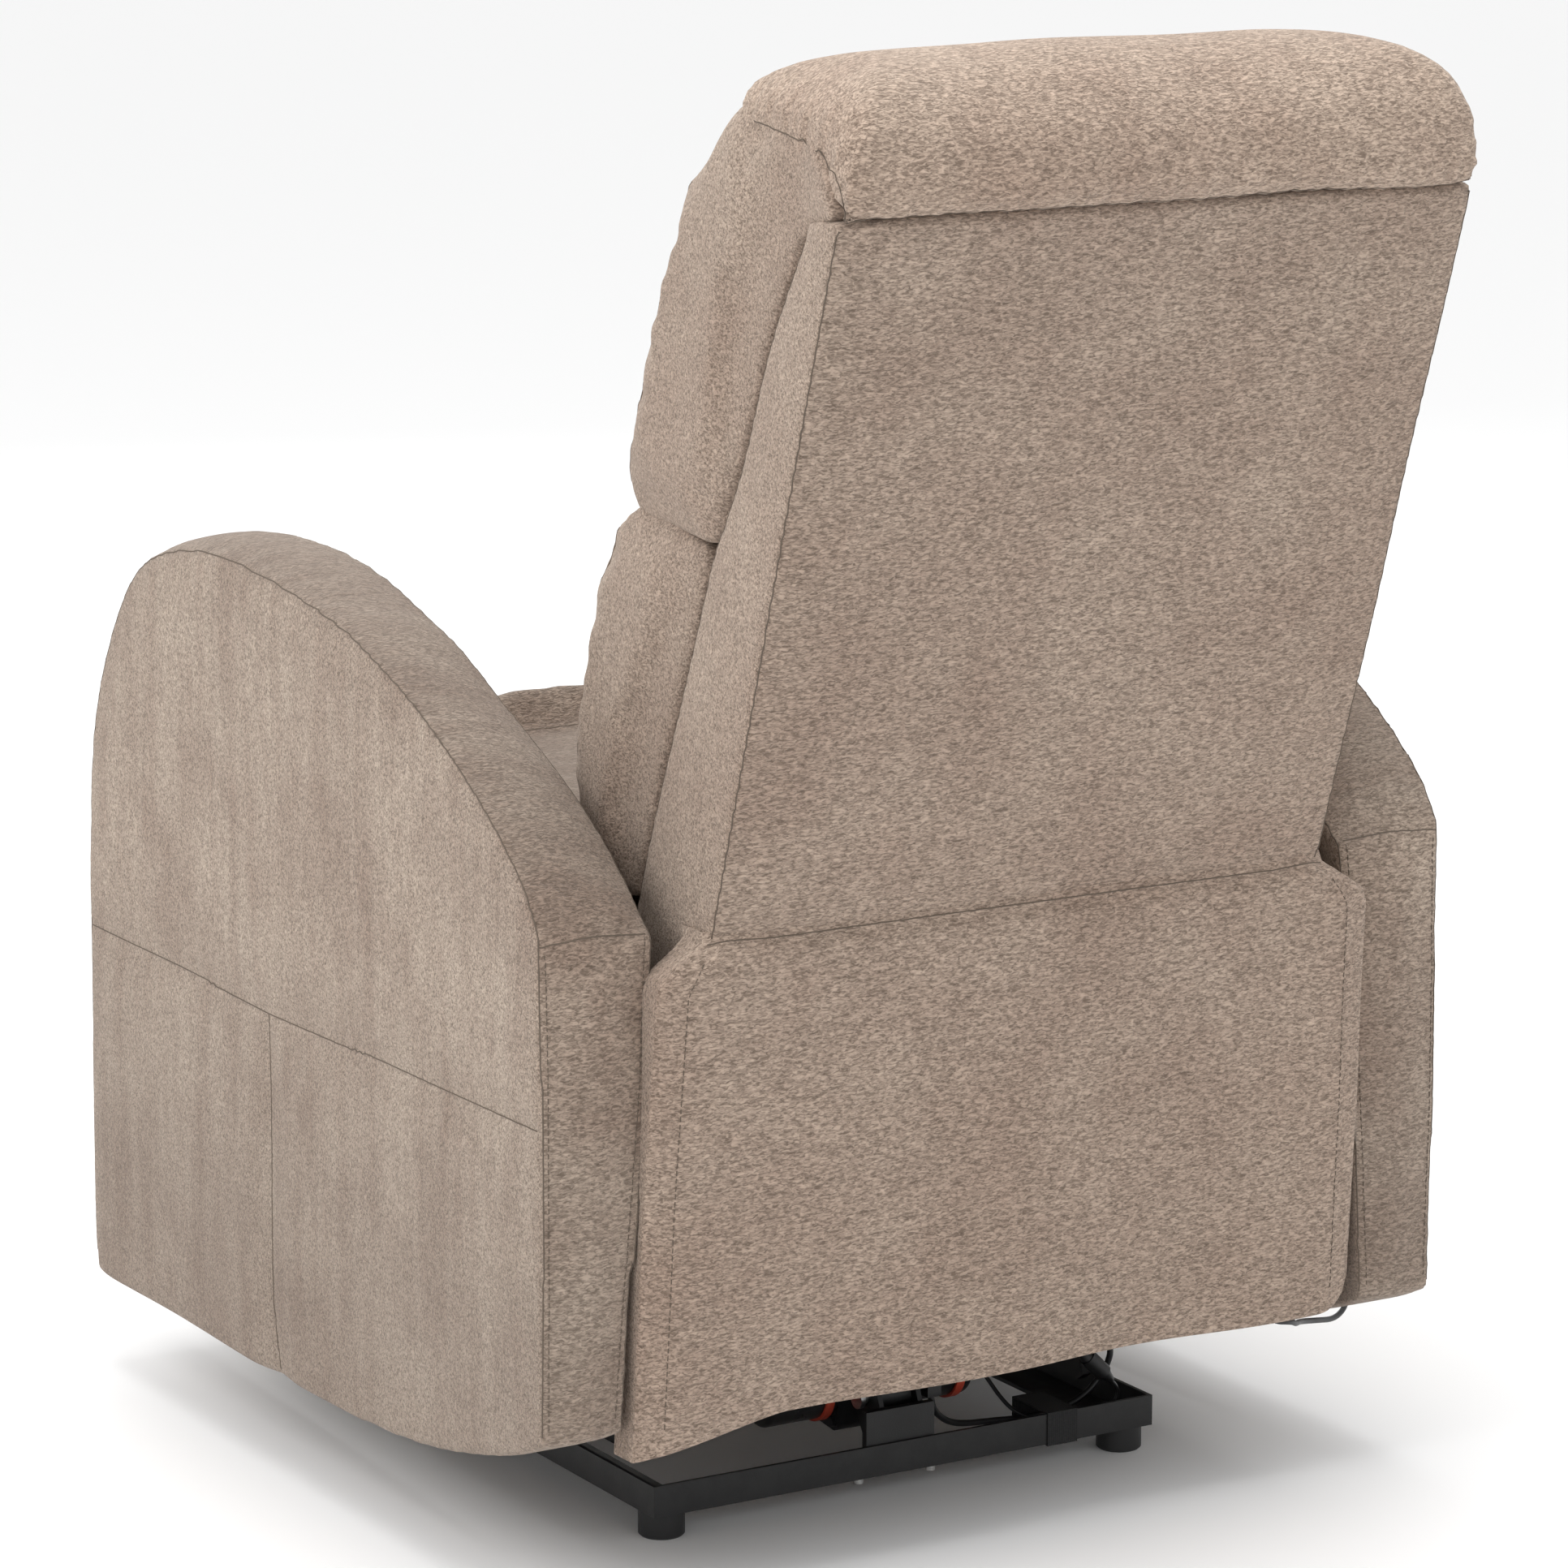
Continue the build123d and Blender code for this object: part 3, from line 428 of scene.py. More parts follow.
def wear_group():
    """Where a hard finish is rubbed on its edges and dulled by dust."""
    group, _, out = effect_group(
        "handling wear", [], [("Edges", "NodeSocketFloat"), ("Smudges", "NodeSocketFloat"),
                              ("Grain", "NodeSocketFloat")]
    )
    geometry = group.nodes.new("ShaderNodeNewGeometry")
    rub = noise_at(group, (1, 1, 1), 60, 4, 0.65)
    edge = ranged(group, geometry.outputs["Pointiness"], 0.60, 0.74)
    group.links.new(combined(group, "MULTIPLY", edge, ranged(group, rub, 0.42, 0.62)), out.inputs["Edges"])
    group.links.new(ranged(group, noise_at(group, (1, 1, 1), 22, 4, 0.6), 0.35, 0.7), out.inputs["Smudges"])
    group.links.new(noise_at(group, (1, 1, 1), 900, 2, 0.5), out.inputs["Grain"])
    return group


def new_material(name, roughness, metallic=0.0):
    material = bpy.data.materials.new(name)
    material.use_nodes = True
    shader = material.node_tree.nodes["Principled BSDF"]
    shader.inputs["Roughness"].default_value = roughness
    shader.inputs["Metallic"].default_value = metallic
    return material, material.node_tree, shader


def placed(tree, group):
    """A shared effect set into a material."""
    node = tree.nodes.new("ShaderNodeGroup")
    node.node_tree = group
    return node


def embossed(tree, shader, height, strength, distance):
    bump = tree.nodes.new("ShaderNodeBump")
    bump.inputs["Strength"].default_value = strength
    bump.inputs["Distance"].default_value = distance
    tree.links.new(height, bump.inputs["Height"])
    tree.links.new(bump.outputs["Normal"], shader.inputs["Normal"])


def chenille(name, light, dark, streaks, painted_top_shade=0.0, painted_low_shade=0.0):
    """Matt upholstery cloth with a soft bloom at its edges."""
    material, tree, shader = new_material(name, 0.95)
    cloth = placed(tree, tufts_effect)
    cloth.inputs["Light"].default_value = light
    cloth.inputs["Dark"].default_value = dark
    cloth.inputs["Streaks"].default_value = streaks
    cloth.inputs["Painted shade on tops"].default_value = painted_top_shade
    cloth.inputs["Painted shade low down"].default_value = painted_low_shade
    shader.inputs["Sheen Weight"].default_value = 0.25
    shader.inputs["Sheen Roughness"].default_value = 0.6
    shader.inputs["Sheen Tint"].default_value = (0.95, 0.88, 0.80, 1)
    shader.inputs["Specular IOR Level"].default_value = 0.2
    tree.links.new(cloth.outputs["Color"], shader.inputs["Base Color"])
    tree.links.new(ranged(tree, cloth.outputs["Tufts"], 0, 1, 1.0, 0.84), shader.inputs["Roughness"])
    embossed(tree, shader, cloth.outputs["Height"], 0.75, 0.0011)
    return material


def hard_finish(name, colour, worn, roughness, metallic=0.0, grain=0.15, coat=0.0, worn_metallic=None):
    """A painted, plated or moulded surface with rubbed edges and faint dust."""
    material, tree, shader = new_material(name, roughness, metallic)
    wear = placed(tree, wear_effect)
    dusty = blended(tree, combined(tree, "MULTIPLY", wear.outputs["Smudges"], 0.22), colour,
                    tuple(min(1, 1.35 * c + 0.006) for c in colour[:3]) + (1,))
    tree.links.new(blended(tree, wear.outputs["Edges"], dusty, worn), shader.inputs["Base Color"])
    tree.links.new(ranged(tree, wear.outputs["Smudges"], 0, 1, roughness - 0.07, roughness + 0.12),
                   shader.inputs["Roughness"])
    if worn_metallic is not None:
        tree.links.new(ranged(tree, wear.outputs["Edges"], 0, 1, metallic, worn_metallic), shader.inputs["Metallic"])
    shader.inputs["Coat Weight"].default_value = coat
    embossed(tree, shader, wear.outputs["Grain"], grain, 0.0004)
    return material


def brushed_zinc():
    """Bright plate with fine scratches across it, for pins and fasteners."""
    material, tree, shader = new_material("bright zinc plate", 0.34, 1.0)
    wear = placed(tree, wear_effect)
    scratches = noise_at(tree, (900, 60, 900), 1, 2, 0.5)
    tone = blended(tree, ranged(tree, scratches, 0.3, 0.7), (0.44, 0.45, 0.46, 1), (0.68, 0.68, 0.66, 1))
    tree.links.new(blended(tree, combined(tree, "MULTIPLY", wear.outputs["Smudges"], 0.4), tone,
                           (0.40, 0.38, 0.35, 1)), shader.inputs["Base Color"])
    tree.links.new(ranged(tree, scratches, 0.3, 0.7, 0.28, 0.46), shader.inputs["Roughness"])
    embossed(tree, shader, scratches, 0.12, 0.0003)
    return material


def pine():
    """Planed pale timber with long rings and pores."""
    material, tree, shader = new_material("planed pine", 0.62)
    rings = noise_at(tree, (26, 26, 3.2), 1, 3, 0.5, 1.6)
    pores = noise_at(tree, (700, 700, 60), 1, 2, 0.5)
    tone = blended(tree, ranged(tree, rings, 0.35, 0.65), (0.70, 0.53, 0.33, 1), (0.48, 0.31, 0.16, 1))
    tree.links.new(blended(tree, ranged(tree, pores, 0.55, 0.8, 0, 0.6), tone, (0.30, 0.18, 0.09, 1)),
                   shader.inputs["Base Color"])
    tree.links.new(ranged(tree, rings, 0.3, 0.7, 0.52, 0.72), shader.inputs["Roughness"])
    embossed(tree, shader, pores, 0.25, 0.0004)
    return material


def woven_tape(name, light, dark, rib):
    """Flat webbing with a rib across it."""
    material, tree, shader = new_material(name, 0.85)
    where = tree.nodes.new("ShaderNodeTexCoord")
    ribs = tree.nodes.new("ShaderNodeTexWave")
    ribs.inputs["Scale"].default_value = rib
    ribs.inputs["Distortion"].default_value = 0.6
    tree.links.new(where.outputs["Object"], ribs.inputs["Vector"])
    fuzz = noise_at(tree, (1, 1, 1), 800, 2, 0.6)
    height = combined(tree, "ADD", combined(tree, "MULTIPLY", ribs.outputs["Fac"], 0.7),
                      combined(tree, "MULTIPLY", fuzz, 0.3))
    tree.links.new(blended(tree, height, dark, light), shader.inputs["Base Color"])
    tree.links.new(ranged(tree, fuzz, 0.3, 0.7, 0.75, 0.95), shader.inputs["Roughness"])
    embossed(tree, shader, height, 0.5, 0.0006)
    return material


def give(piece, material):
    piece.data.materials.clear()
    piece.data.materials.append(material)


tufts_effect = chenille_group()
wear_effect = wear_group()
chenille_rear = chenille("chenille, rear", CHENILLE_LIGHT, CHENILLE_DARK, 0.10)
# A lighter copy of the rear cloth for the top roll: painted light from above.
lit_band_chenille = chenille("chenille, head band, painted lit", LIT_BAND_LIGHT, LIT_BAND_DARK, 0.10)
# The arm cloth, also used on the seat, footrest and pocket, has painted shade on what faces up and towards the floor.
chenille_arm = chenille("chenille, arms", ARM_LIGHT, ARM_DARK, 0.34, painted_top_shade=0.46, painted_low_shade=0.30)
# One brown for the real stitches and for the seam lines of painted shade.
thread_and_seam_shade_brown = hard_finish("brown thread and painted seam shade", THREAD_AND_SEAM_SHADE_BROWN, (0.09, 0.07, 0.05, 1), 0.85)
black_steel = hard_finish("black satin paint", (0.0040, 0.0040, 0.0044, 1), (0.04, 0.04, 0.04, 1), 0.42,
                          grain=0.22, worn_metallic=0.6)
black_plastic = hard_finish("black moulded plastic", (0.007, 0.007, 0.0075, 1), (0.03, 0.03, 0.03, 1), 0.46,
                            grain=0.35)
motor_black = hard_finish("black motor can", (0.0060, 0.0060, 0.0064, 1), (0.06, 0.06, 0.06, 1), 0.34, grain=0.1,
                          coat=0.2)
plate_grey = hard_finish("motor end plate", (0.012, 0.012, 0.013, 1), (0.10, 0.10, 0.10, 1), 0.40, 0.3)
ring_red = hard_finish("red rubber ring", (0.48, 0.050, 0.022, 1), (0.60, 0.14, 0.08, 1), 0.5)
lead_black = hard_finish("black lead sheath", (0.014, 0.014, 0.015, 1), (0.03, 0.03, 0.03, 1), 0.42, grain=0.1)
button_grey = hard_finish("grey button plastic", (0.25, 0.26, 0.27, 1), (0.34, 0.35, 0.36, 1), 0.5, grain=0.3)
zinc = brushed_zinc()
timber = pine()
strap_black = woven_tape("black strap", (0.022, 0.022, 0.023, 1), (0.008, 0.008, 0.008, 1), 180)
webbing_pale = woven_tape("jute webbing", (0.52, 0.46, 0.36, 1), (0.30, 0.25, 0.18, 1), 130)

FINISHES = {
    "black_steel": black_steel, "zinc_steel": zinc, "black_plastic": black_plastic, "motor_can": motor_black,
    "motor_plate": plate_grey, "red_rubber": ring_red, "strap_fabric": strap_black, "lead_rubber": lead_black,
    "wood": timber, "webbing": webbing_pale, "button_plastic": button_grey, "taupe_chenille": chenille_rear,
}


def finish_cad_nodes():
    """Every CAD node gets the finish of its slot in the record."""
    for part in frame["record"]["subparts"]:
        node = frame["nodes"][part["node"]]
        for slot in node.material_slots:
            slot.material = FINISHES[part["material_slot"]]


# ---- camera, floor and light --------------------------------------------------------------------


def studio():
    """The camera, a pale floor, an even sky and three soft lamps."""
    scene = bpy.context.scene
    camera = bpy.data.objects.new("camera", bpy.data.cameras.new("camera"))
    bpy.context.collection.objects.link(camera)
    level = math.cos(CAMERA_ELEVATION)
    away = Vector((math.sin(CAMERA_AZIMUTH) * level, -math.cos(CAMERA_AZIMUTH) * level,
                   math.sin(CAMERA_ELEVATION)))
    camera.location = Vector(CAMERA_TARGET) + away * CAMERA_DISTANCE
    camera.rotation_euler = (-away).to_track_quat("-Z", "Y").to_euler()
    camera.data.lens, camera.data.sensor_width = CAMERA_LENS, CAMERA_SENSOR
    camera.data.shift_x, camera.data.shift_y = CAMERA_SHIFT
    scene.camera = camera

    far = FLOOR_REACH
    floor = new_piece("floor", [(-far, -far, 0), (far, -far, 0), (far, far, 0), (-far, far, 0)], [(0, 1, 2, 3)])
    paint, _, shader = new_material("pale floor", 0.75)
    shader.inputs["Base Color"].default_value = (0.92, 0.92, 0.92, 1)
    give(floor, paint)

    world = bpy.data.worlds.new("studio")
    world.use_nodes = True
    world.node_tree.nodes["Background"].inputs["Color"].default_value = (1, 1, 1, 1)
    world.node_tree.nodes["Background"].inputs["Strength"].default_value = 1.0
    scene.world = world
    for name, place, size, watts in LAMPS:
        lamp = bpy.data.objects.new(name, bpy.data.lights.new(name, "AREA"))
        lamp.data.size, lamp.data.energy = size, watts
        lamp.location = place
        lamp.rotation_euler = (Vector(LAMP_AIM) - lamp.location).to_track_quat("-Z", "Y").to_euler()
        bpy.context.collection.objects.link(lamp)
    scene.view_settings.view_transform = "Standard"


# ---- leads --------------------------------------------------------------------------------------

HANDSET_LEAD = [
    (-0.196, 0.010, 0.232), (-0.216, 0.010, 0.232), (-0.233, 0.034, 0.216), (-0.236, 0.092, 0.190),
    (-0.237, 0.150, 0.178), (-0.239, 0.200, 0.163), (-0.245, 0.238, 0.140), (-0.258, 0.262, 0.124),
    (-0.278, 0.262, 0.121), (-0.298, 0.238, 0.110), (-0.322, 0.210, 0.101), (-0.352, 0.190, 0.092),
    (-0.382, 0.176, 0.085), (-0.398, 0.170, 0.096), (-0.399, 0.160, 0.132), (-0.395, 0.148, 0.180),
    (-0.394, 0.136, 0.232), (-0.394, 0.120, 0.288), (-0.394, 0.098, 0.338), (-0.394, 0.062, 0.376),
    (-0.394, 0.022, 0.390), (-0.3945, -0.004, 0.402), (-0.3948, -0.010, 0.423), (-0.3948, -0.010, 0.446),
]
MOTOR_LEAD_UPPER = [
    (-0.187, 0.084, 0.098), (-0.187, 0.098, 0.098), (-0.182, 0.109, 0.106), (-0.172, 0.115, 0.117),
    (-0.157, 0.119, 0.123), (-0.143, 0.123, 0.117), (-0.139, 0.126, 0.106), (-0.148, 0.126, 0.097),
    (-0.160, 0.126, 0.094), (-0.174, 0.126, 0.080),
]
MOTOR_LEAD_LOWER = [
    (-0.204, 0.126, 0.050), (-0.2093, 0.126, 0.0446), (-0.2106, 0.126, 0.0381), (-0.208, 0.126, 0.0318),
    (-0.2024, 0.126, 0.0282), (-0.190, 0.127, 0.0276), (-0.168, 0.128, 0.027), (-0.150, 0.127, 0.027),
    (-0.134, 0.123, 0.029), (-0.122, 0.114, 0.035), (-0.116, 0.103, 0.045), (-0.112, 0.092, 0.057),
    (-0.1075, 0.0835, 0.0665), (-0.100, 0.080, 0.072), (-0.092, 0.080, 0.072),
]
SUPPLY_LEAD = [
    (-0.187, 0.084, 0.088), (-0.187, 0.099, 0.088), (-0.193, 0.112, 0.088), (-0.203, 0.119, 0.084),
    (-0.208, 0.120, 0.073), (-0.207, 0.117, 0.061), (-0.200, 0.115, 0.049), (-0.187, 0.115, 0.038),
    (-0.168, 0.116, 0.0315), (-0.146, 0.117, 0.0295), (-0.124, 0.115, 0.029), (-0.103, 0.111, 0.0295),
    (-0.084, 0.109, 0.030), (-0.068, 0.109, 0.033), (-0.056, 0.109, 0.041), (-0.050, 0.109, 0.051),
    (-0.050, 0.109, 0.058),
]


def lead_line(name, route):
    """A curve of one spline along the route."""
    curve = bpy.data.curves.new(name, "CURVE")
    curve.dimensions = "3D"
    spline = curve.splines.new("NURBS")
    spline.points.add(len(route) - 1)
    for point, place in zip(spline.points, route):
        point.co = (*place, 1)
    spline.use_endpoint_u = True
    spline.order_u = 3
    spline.resolution_u = 8
    return curve


def lead_tube(name, route, diameter):
    """A mesh tube that follows the route's spline, and the points it follows."""
    guide = bpy.data.objects.new(name + "_guide", lead_line(name + "_guide", route))
    bpy.context.collection.objects.link(guide)
    line = bpy.data.meshes.new_from_object(guide.evaluated_get(bpy.context.evaluated_depsgraph_get()))
    path = [v.co.copy() for v in line.vertices]
    bpy.data.objects.remove(guide)
    tube = Thread(name)
    side = Vector((0.31, 0.17, 0.93)).normalized()
    normals = []
    for k in range(len(path)):
        ahead = (path[min(k + 1, len(path) - 1)] - path[max(k - 1, 0)]).normalized()
        side = (side - ahead * side.dot(ahead)).normalized()
        normals.append(side.copy())
    tube.tube(path, normals, diameter / 2, sides=14)
    piece = new_piece(name, tube.verts, tube.faces)
    shade_smooth(piece)
    give(piece, lead_black)
    return piece, path


def leads():
    """The four leads as tubes along their routes; the lower motor lead rides on the base, and the other three stay
    fixed where they are.
    """
    connector = frame["nodes"]["lead_connector"]
    plan = [
        ("handset_cord", "handset_lead", HANDSET_LEAD, HANDSET_LEAD_DIAMETER, "object", []),
        ("motor_cord_upper", "motor_lead_upper", MOTOR_LEAD_UPPER, SLIM_LEAD, "connector", [connector]),
        ("motor_cord_lower", "motor_lead_lower", MOTOR_LEAD_LOWER, SLIM_LEAD, "object", []),
        ("supply_cord", "supply_lead", SUPPLY_LEAD, SUPPLY_LEAD_DIAMETER, "object", []),
    ]
    made = {}
    for name, node, route, diameter, far_end, with_pieces in plan:
        piece, path = lead_tube(name, route, diameter)
        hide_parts(node)
        made[name] = piece
    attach(made["motor_cord_lower"], "base")
    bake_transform(made["handset_cord"])
    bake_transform(made["motor_cord_upper"])
    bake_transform(made["supply_cord"])


# ---- arms ---------------------------------------------------------------------------------------

ARM_FRONT = [(-0.4525, 0.077), (-0.471, 0.094), (-0.4705, 0.230), (-0.468, 0.400)]
ARM_ARCH_OUTER = [(-0.468, 0.400), (-0.458, 0.512), (-0.434, 0.582), (-0.390, 0.645), (-0.340, 0.680),
                  (-0.262, 0.699), (-0.176, 0.700), (-0.100, 0.693), (-0.027, 0.682), (0.016, 0.672),
                  (0.102, 0.642), (0.174, 0.606), (0.234, 0.568), (0.272, 0.534), (0.292, 0.505)]
ARM_ARCH_INNER = [(-0.468, 0.400), (-0.458, 0.512), (-0.434, 0.582), (-0.392, 0.648), (-0.348, 0.684),
                  (-0.270, 0.701), (-0.176, 0.700), (-0.105, 0.689), (-0.036, 0.670), (0.012, 0.655),
                  (0.090, 0.620), (0.158, 0.588), (0.214, 0.556), (0.258, 0.524), (0.292, 0.494)]
ARM_SWEEP = [(0.292, 0.137), (0.232, 0.116), (0.155, 0.098), (0.075, 0.086), (-0.007, 0.079), (-0.134, 0.077)]


def arm_side(arch):
    """The closed (y, z) outline of an arm, with the same count of points for either arch."""
    return eased(ARM_FRONT, 4)[:-1] + eased(arch, 5) + [(0.295, 0.400), (0.295, 0.260)] + eased(ARM_SWEEP, 4)


def arm_inner_taper(y, z):
    """How far the inner face stands outwards of its top edge, low down at the rear."""
    return max(0.0, 0.028 * (ARM_SEAM_Z - z) / 0.366 * min(1, max(0, (y + 0.470) / 0.765)))


def arm(side, thread):
    """One padded arm: side is 1 for the sitter's left and -1 for the right, which is its mirror image."""
    name = "left_arm" if side > 0 else "right_arm"
    crown = (0.0, 0.004, 0.0045, 0.004, 0.0)
    outer, inner = arm_side(ARM_ARCH_OUTER), arm_side(ARM_ARCH_INNER)
    outlines = []
    for share, rise in zip((0, 0.28, 0.5, 0.72, 1), crown):
        x = ARM_INNER_X + share * (ARM_OUTER_X - ARM_INNER_X)
        outlines.append([
            (x, a[0] * (1 - share) + b[0] * share, a[1] * (1 - share) + b[1] * share + (rise if a[1] > 0.5 else 0))
            for a, b in zip(inner, outer)
        ])
    piece = between_outlines(name, outlines)
    knitted(piece, 0.005, 5)
    points = points_of(piece)
    for p in points:
        p[0] += arm_inner_taper(p[1], p[2]) * (ARM_OUTER_X - p[0]) / (ARM_OUTER_X - ARM_INNER_X)
    put_points(piece, points)

    rear_low = [(ARM_REAR_Y, 0.500), (ARM_REAR_Y, 0.330), (ARM_REAR_Y, 0.145)]
    outer_edge = at_x(ARM_OUTER_X, eased(ARM_FRONT[1:], 4)[:-1] + eased(ARM_ARCH_OUTER, 5) + rear_low)
    inner_edge = at_x(ARM_INNER_X, eased(ARM_FRONT[1:], 4)[:-1] + eased(ARM_ARCH_INNER, 5)) + [
        (ARM_INNER_X + arm_inner_taper(y, z), y, z) for y, z in rear_low
    ]
    panel_seam = at_x(ARM_OUTER_X, [(-0.462, 0.3655), (-0.300, 0.3645), (-0.140, 0.3595), (0.060, 0.3635),
                                    (0.286, 0.3665)])
    drop_seam = at_x(ARM_OUTER_X, [(-0.1400, 0.3595), (-0.1400, 0.220), (-0.1385, 0.130), (-0.130, 0.084)])
    rear_seam = [(ARM_OUTER_X - 0.003, ARM_REAR_Y, 0.497), (0.340, ARM_REAR_Y, 0.502), (0.294, ARM_REAR_Y, 0.504)]
    seams = [outer_edge, inner_edge, panel_seam, drop_seam, rear_seam]
    pad_crease = [(ARM_INNER_X, y, z - 0.046) for y, z in eased(ARM_ARCH_INNER[3:-1], 4)]
    stitched = [
        [(ARM_OUTER_X - 0.0075, ARM_REAR_Y, 0.492), (ARM_OUTER_X - 0.0075, ARM_REAR_Y, 0.148)],
        [(ARM_INNER_X + 0.0085 + arm_inner_taper(ARM_REAR_Y, z), ARM_REAR_Y, z) for z in (0.498, 0.320, 0.148)],
    ]
    if side < 0:
        put_points(piece, points_of(piece) * np.array([-1, 1, 1]))
        piece.data.flip_normals()
        seams, stitched = [mirrored(s) for s in seams], [mirrored(s) for s in stitched]
        pad_crease = mirrored(pad_crease)
    uneven(piece, 0.16, 0.0022, 3 + side)
    pull_in(piece, seams, 0.024, 0.0030, gather=0.0005)
    pull_in(piece, [pad_crease], 0.012, 0.005)
    pull_in(piece, seams, 0.0042, 0.0021)
    shade_smooth(piece)
    give(piece, chenille_arm)
    for path in seams:
        thread.seam(piece, path)
    for path in stitched:
        thread.stitches(piece, path)
    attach(piece, "chair")
    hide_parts(f"{name}_inner_pad", f"{name}_outer_pad")


# ---- back ---------------------------------------------------------------------------------------

GUSSET_SEAM = [(0.202, 0.494), (0.228, 0.567), (0.275, 0.678), (0.308, 0.760)]
UPPER_SEAM = [(0.310, 0.764), (0.348, 0.829), (0.386, 0.916), (0.430, 0.990)]
LUMBAR_FRONT = [(0.108, 0.488), (0.103, 0.599), (0.126, 0.675), (0.146, 0.730), (0.172, 0.768)]
HEAD_FRONT = [(0.208, 0.770), (0.182, 0.796), (0.198, 0.865), (0.228, 0.942), (0.280, 1.022)]
CREASE = [(0.210, 0.785), (0.256, 0.782)]
BAND_EDGE = [(0.343, 1.066), (0.408, 1.058), (0.449, 1.048), (0.474, 1.031), (0.4815, 1.003)]


def corner_top(x, y):
    """The height of the back's rounded head over a point, down to the side seam at its ends."""
    side = np.interp(y, *zip(*BAND_EDGE))
    turn = min(1.0, max(0.0, (abs(x) - (BACK_HALF - TOP_CORNER)) / TOP_CORNER))
    return TOP_Z - (TOP_Z - side) * (1 - math.sqrt(1 - turn**2))


def box_pad(name, outline, half, crown, voxel, smoothing):
    """A pad of one (y, z) outline across the chair, a little smaller at its ends by crown."""
    rings = []
    centre = np.mean(outline, axis=0)
    for share in (-1, -0.96, -0.9, -0.82, -0.72, -0.62, 0.62, 0.72, 0.82, 0.9, 0.96, 1):
        ring = [centre + (np.array(p) - centre) * (1 - crown * (abs(share) == 1)) for p in outline]
        rings.append([(share * half, y, min(z, corner_top(share * BACK_HALF, y) - 0.006)) for y, z in ring])
    piece = between_outlines(name, rings)
    knitted(piece, voxel, smoothing)
    return piece


def back_shell(thread):
    """The tight rear cover with its side gussets."""
    foot_tuck = [(0.206, 0.450), (0.290, 0.444), (0.303, 0.472), (0.3095, 0.480)]
    head_tuck = [(0.4768, 1.010), (0.438, 1.006)]
    side_seam = eased(UPPER_SEAM, 4)[::-1] + eased(GUSSET_SEAM, 4)[::-1]
    outline = foot_tuck + [BACK_FOOT, BACK_HEAD] + head_tuck + side_seam
    piece = between_outlines("back_shell", [at_x(-BACK_HALF - 0.001, outline), at_x(BACK_HALF + 0.001, outline)])
    knitted(piece, 0.005, 4)
    rear = [BACK_HEAD, (0.397, 0.7465), BACK_FOOT]
    seams = []
    for x in (-BACK_HALF, BACK_HALF):
        seams.append(at_x(x, rear))
        seams.append(at_x(x, side_seam))
    foot = [(-BACK_HALF, *BACK_FOOT), (BACK_HALF, *BACK_FOOT)]
    uneven(piece, 0.20, 0.0020, 9)
    pull_in(piece, seams, 0.028, 0.0032, gather=0.0006)
    pull_in(piece, seams, 0.004, 0.0020)
    pull_in(piece, [foot], 0.010, 0.0020)
    shade_smooth(piece)
    give(piece, chenille_rear)
    for path in seams:
        thread.seam(piece, path)
    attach(piece, "back")
    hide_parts("back_rear_panel", "back_gussets")


def head_pillow(thread):
    """The upper pillow, tucked under the top roll."""
    crest = [(0.348, 1.074), (0.408, 1.076), (0.452, 1.060), (0.473, 1.036), (0.4785, 1.004), (0.440, 0.994)]
    outline = HEAD_FRONT + crest + eased(UPPER_SEAM, 3)[::-1] + [(0.256, 0.770)]
    piece = box_pad("head_pillow_pad", outline, 0.262, 0.0, 0.007, 2)
    stuffed(piece, 4.0, 0.008)
    refined(piece)
    side = [(0.264, y, z) for y, z in eased(HEAD_FRONT[1:], 4)]
    uneven(piece, 0.13, 0.0025, 21)
    seams = [side, mirrored(side)]
    pull_in(piece, seams, 0.016, 0.0030, gather=0.0005, pitch=0.022)
    pull_in(piece, seams, 0.004, 0.0018)
    shade_smooth(piece)
    give(piece, chenille_rear)
    for path in seams:
        thread.seam(piece, path)
    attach(piece, "back")
    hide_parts("head_pillow")


def lumbar_pillow(thread):
    """The lower pillow, from the crease down to the seat."""
    outline = LUMBAR_FRONT + CREASE + [(0.304, 0.768)] + eased(GUSSET_SEAM, 3)[::-1][1:]
    piece = box_pad("lumbar_pillow_pad", outline, 0.263, 0.0, 0.007, 2)
    stuffed(piece, 4.0, 0.008)
    refined(piece)
    side = [(0.264, y, z) for y, z in eased(LUMBAR_FRONT, 4)]
    uneven(piece, 0.13, 0.0025, 33)
    seams = [side, mirrored(side)]
    pull_in(piece, seams, 0.016, 0.0030, gather=0.0005, pitch=0.022)
    pull_in(piece, seams, 0.004, 0.0018)
    shade_smooth(piece)
    give(piece, chenille_rear)
    for path in seams:
        thread.seam(piece, path)
    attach(piece, "back")
    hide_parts("lumbar_pillow")


def band_ring(x):
    """The (y, z) section of the top roll, from its hidden underside round its rear and top."""
    under = eased([(0.344, 1.076), (0.362, 1.062), (0.408, 1.052), (0.449, 1.040), (0.466, 1.018), (0.478, 0.999)], 4)
    over = eased([(0.4850, 0.999), (0.4885, 1.030), (0.4840, 1.068), (0.458, 1.096), (0.408, 1.107), (0.366, 1.100),
                  (0.345, 1.088)], 4)
    ring = [(x * 0.975, y, min(z, corner_top(x, y) - 0.020)) for y, z in under[:-1]] + [(x, 0.478, 0.998)]
    return ring + [(x, y, min(z, corner_top(x, y))) for y, z in over]


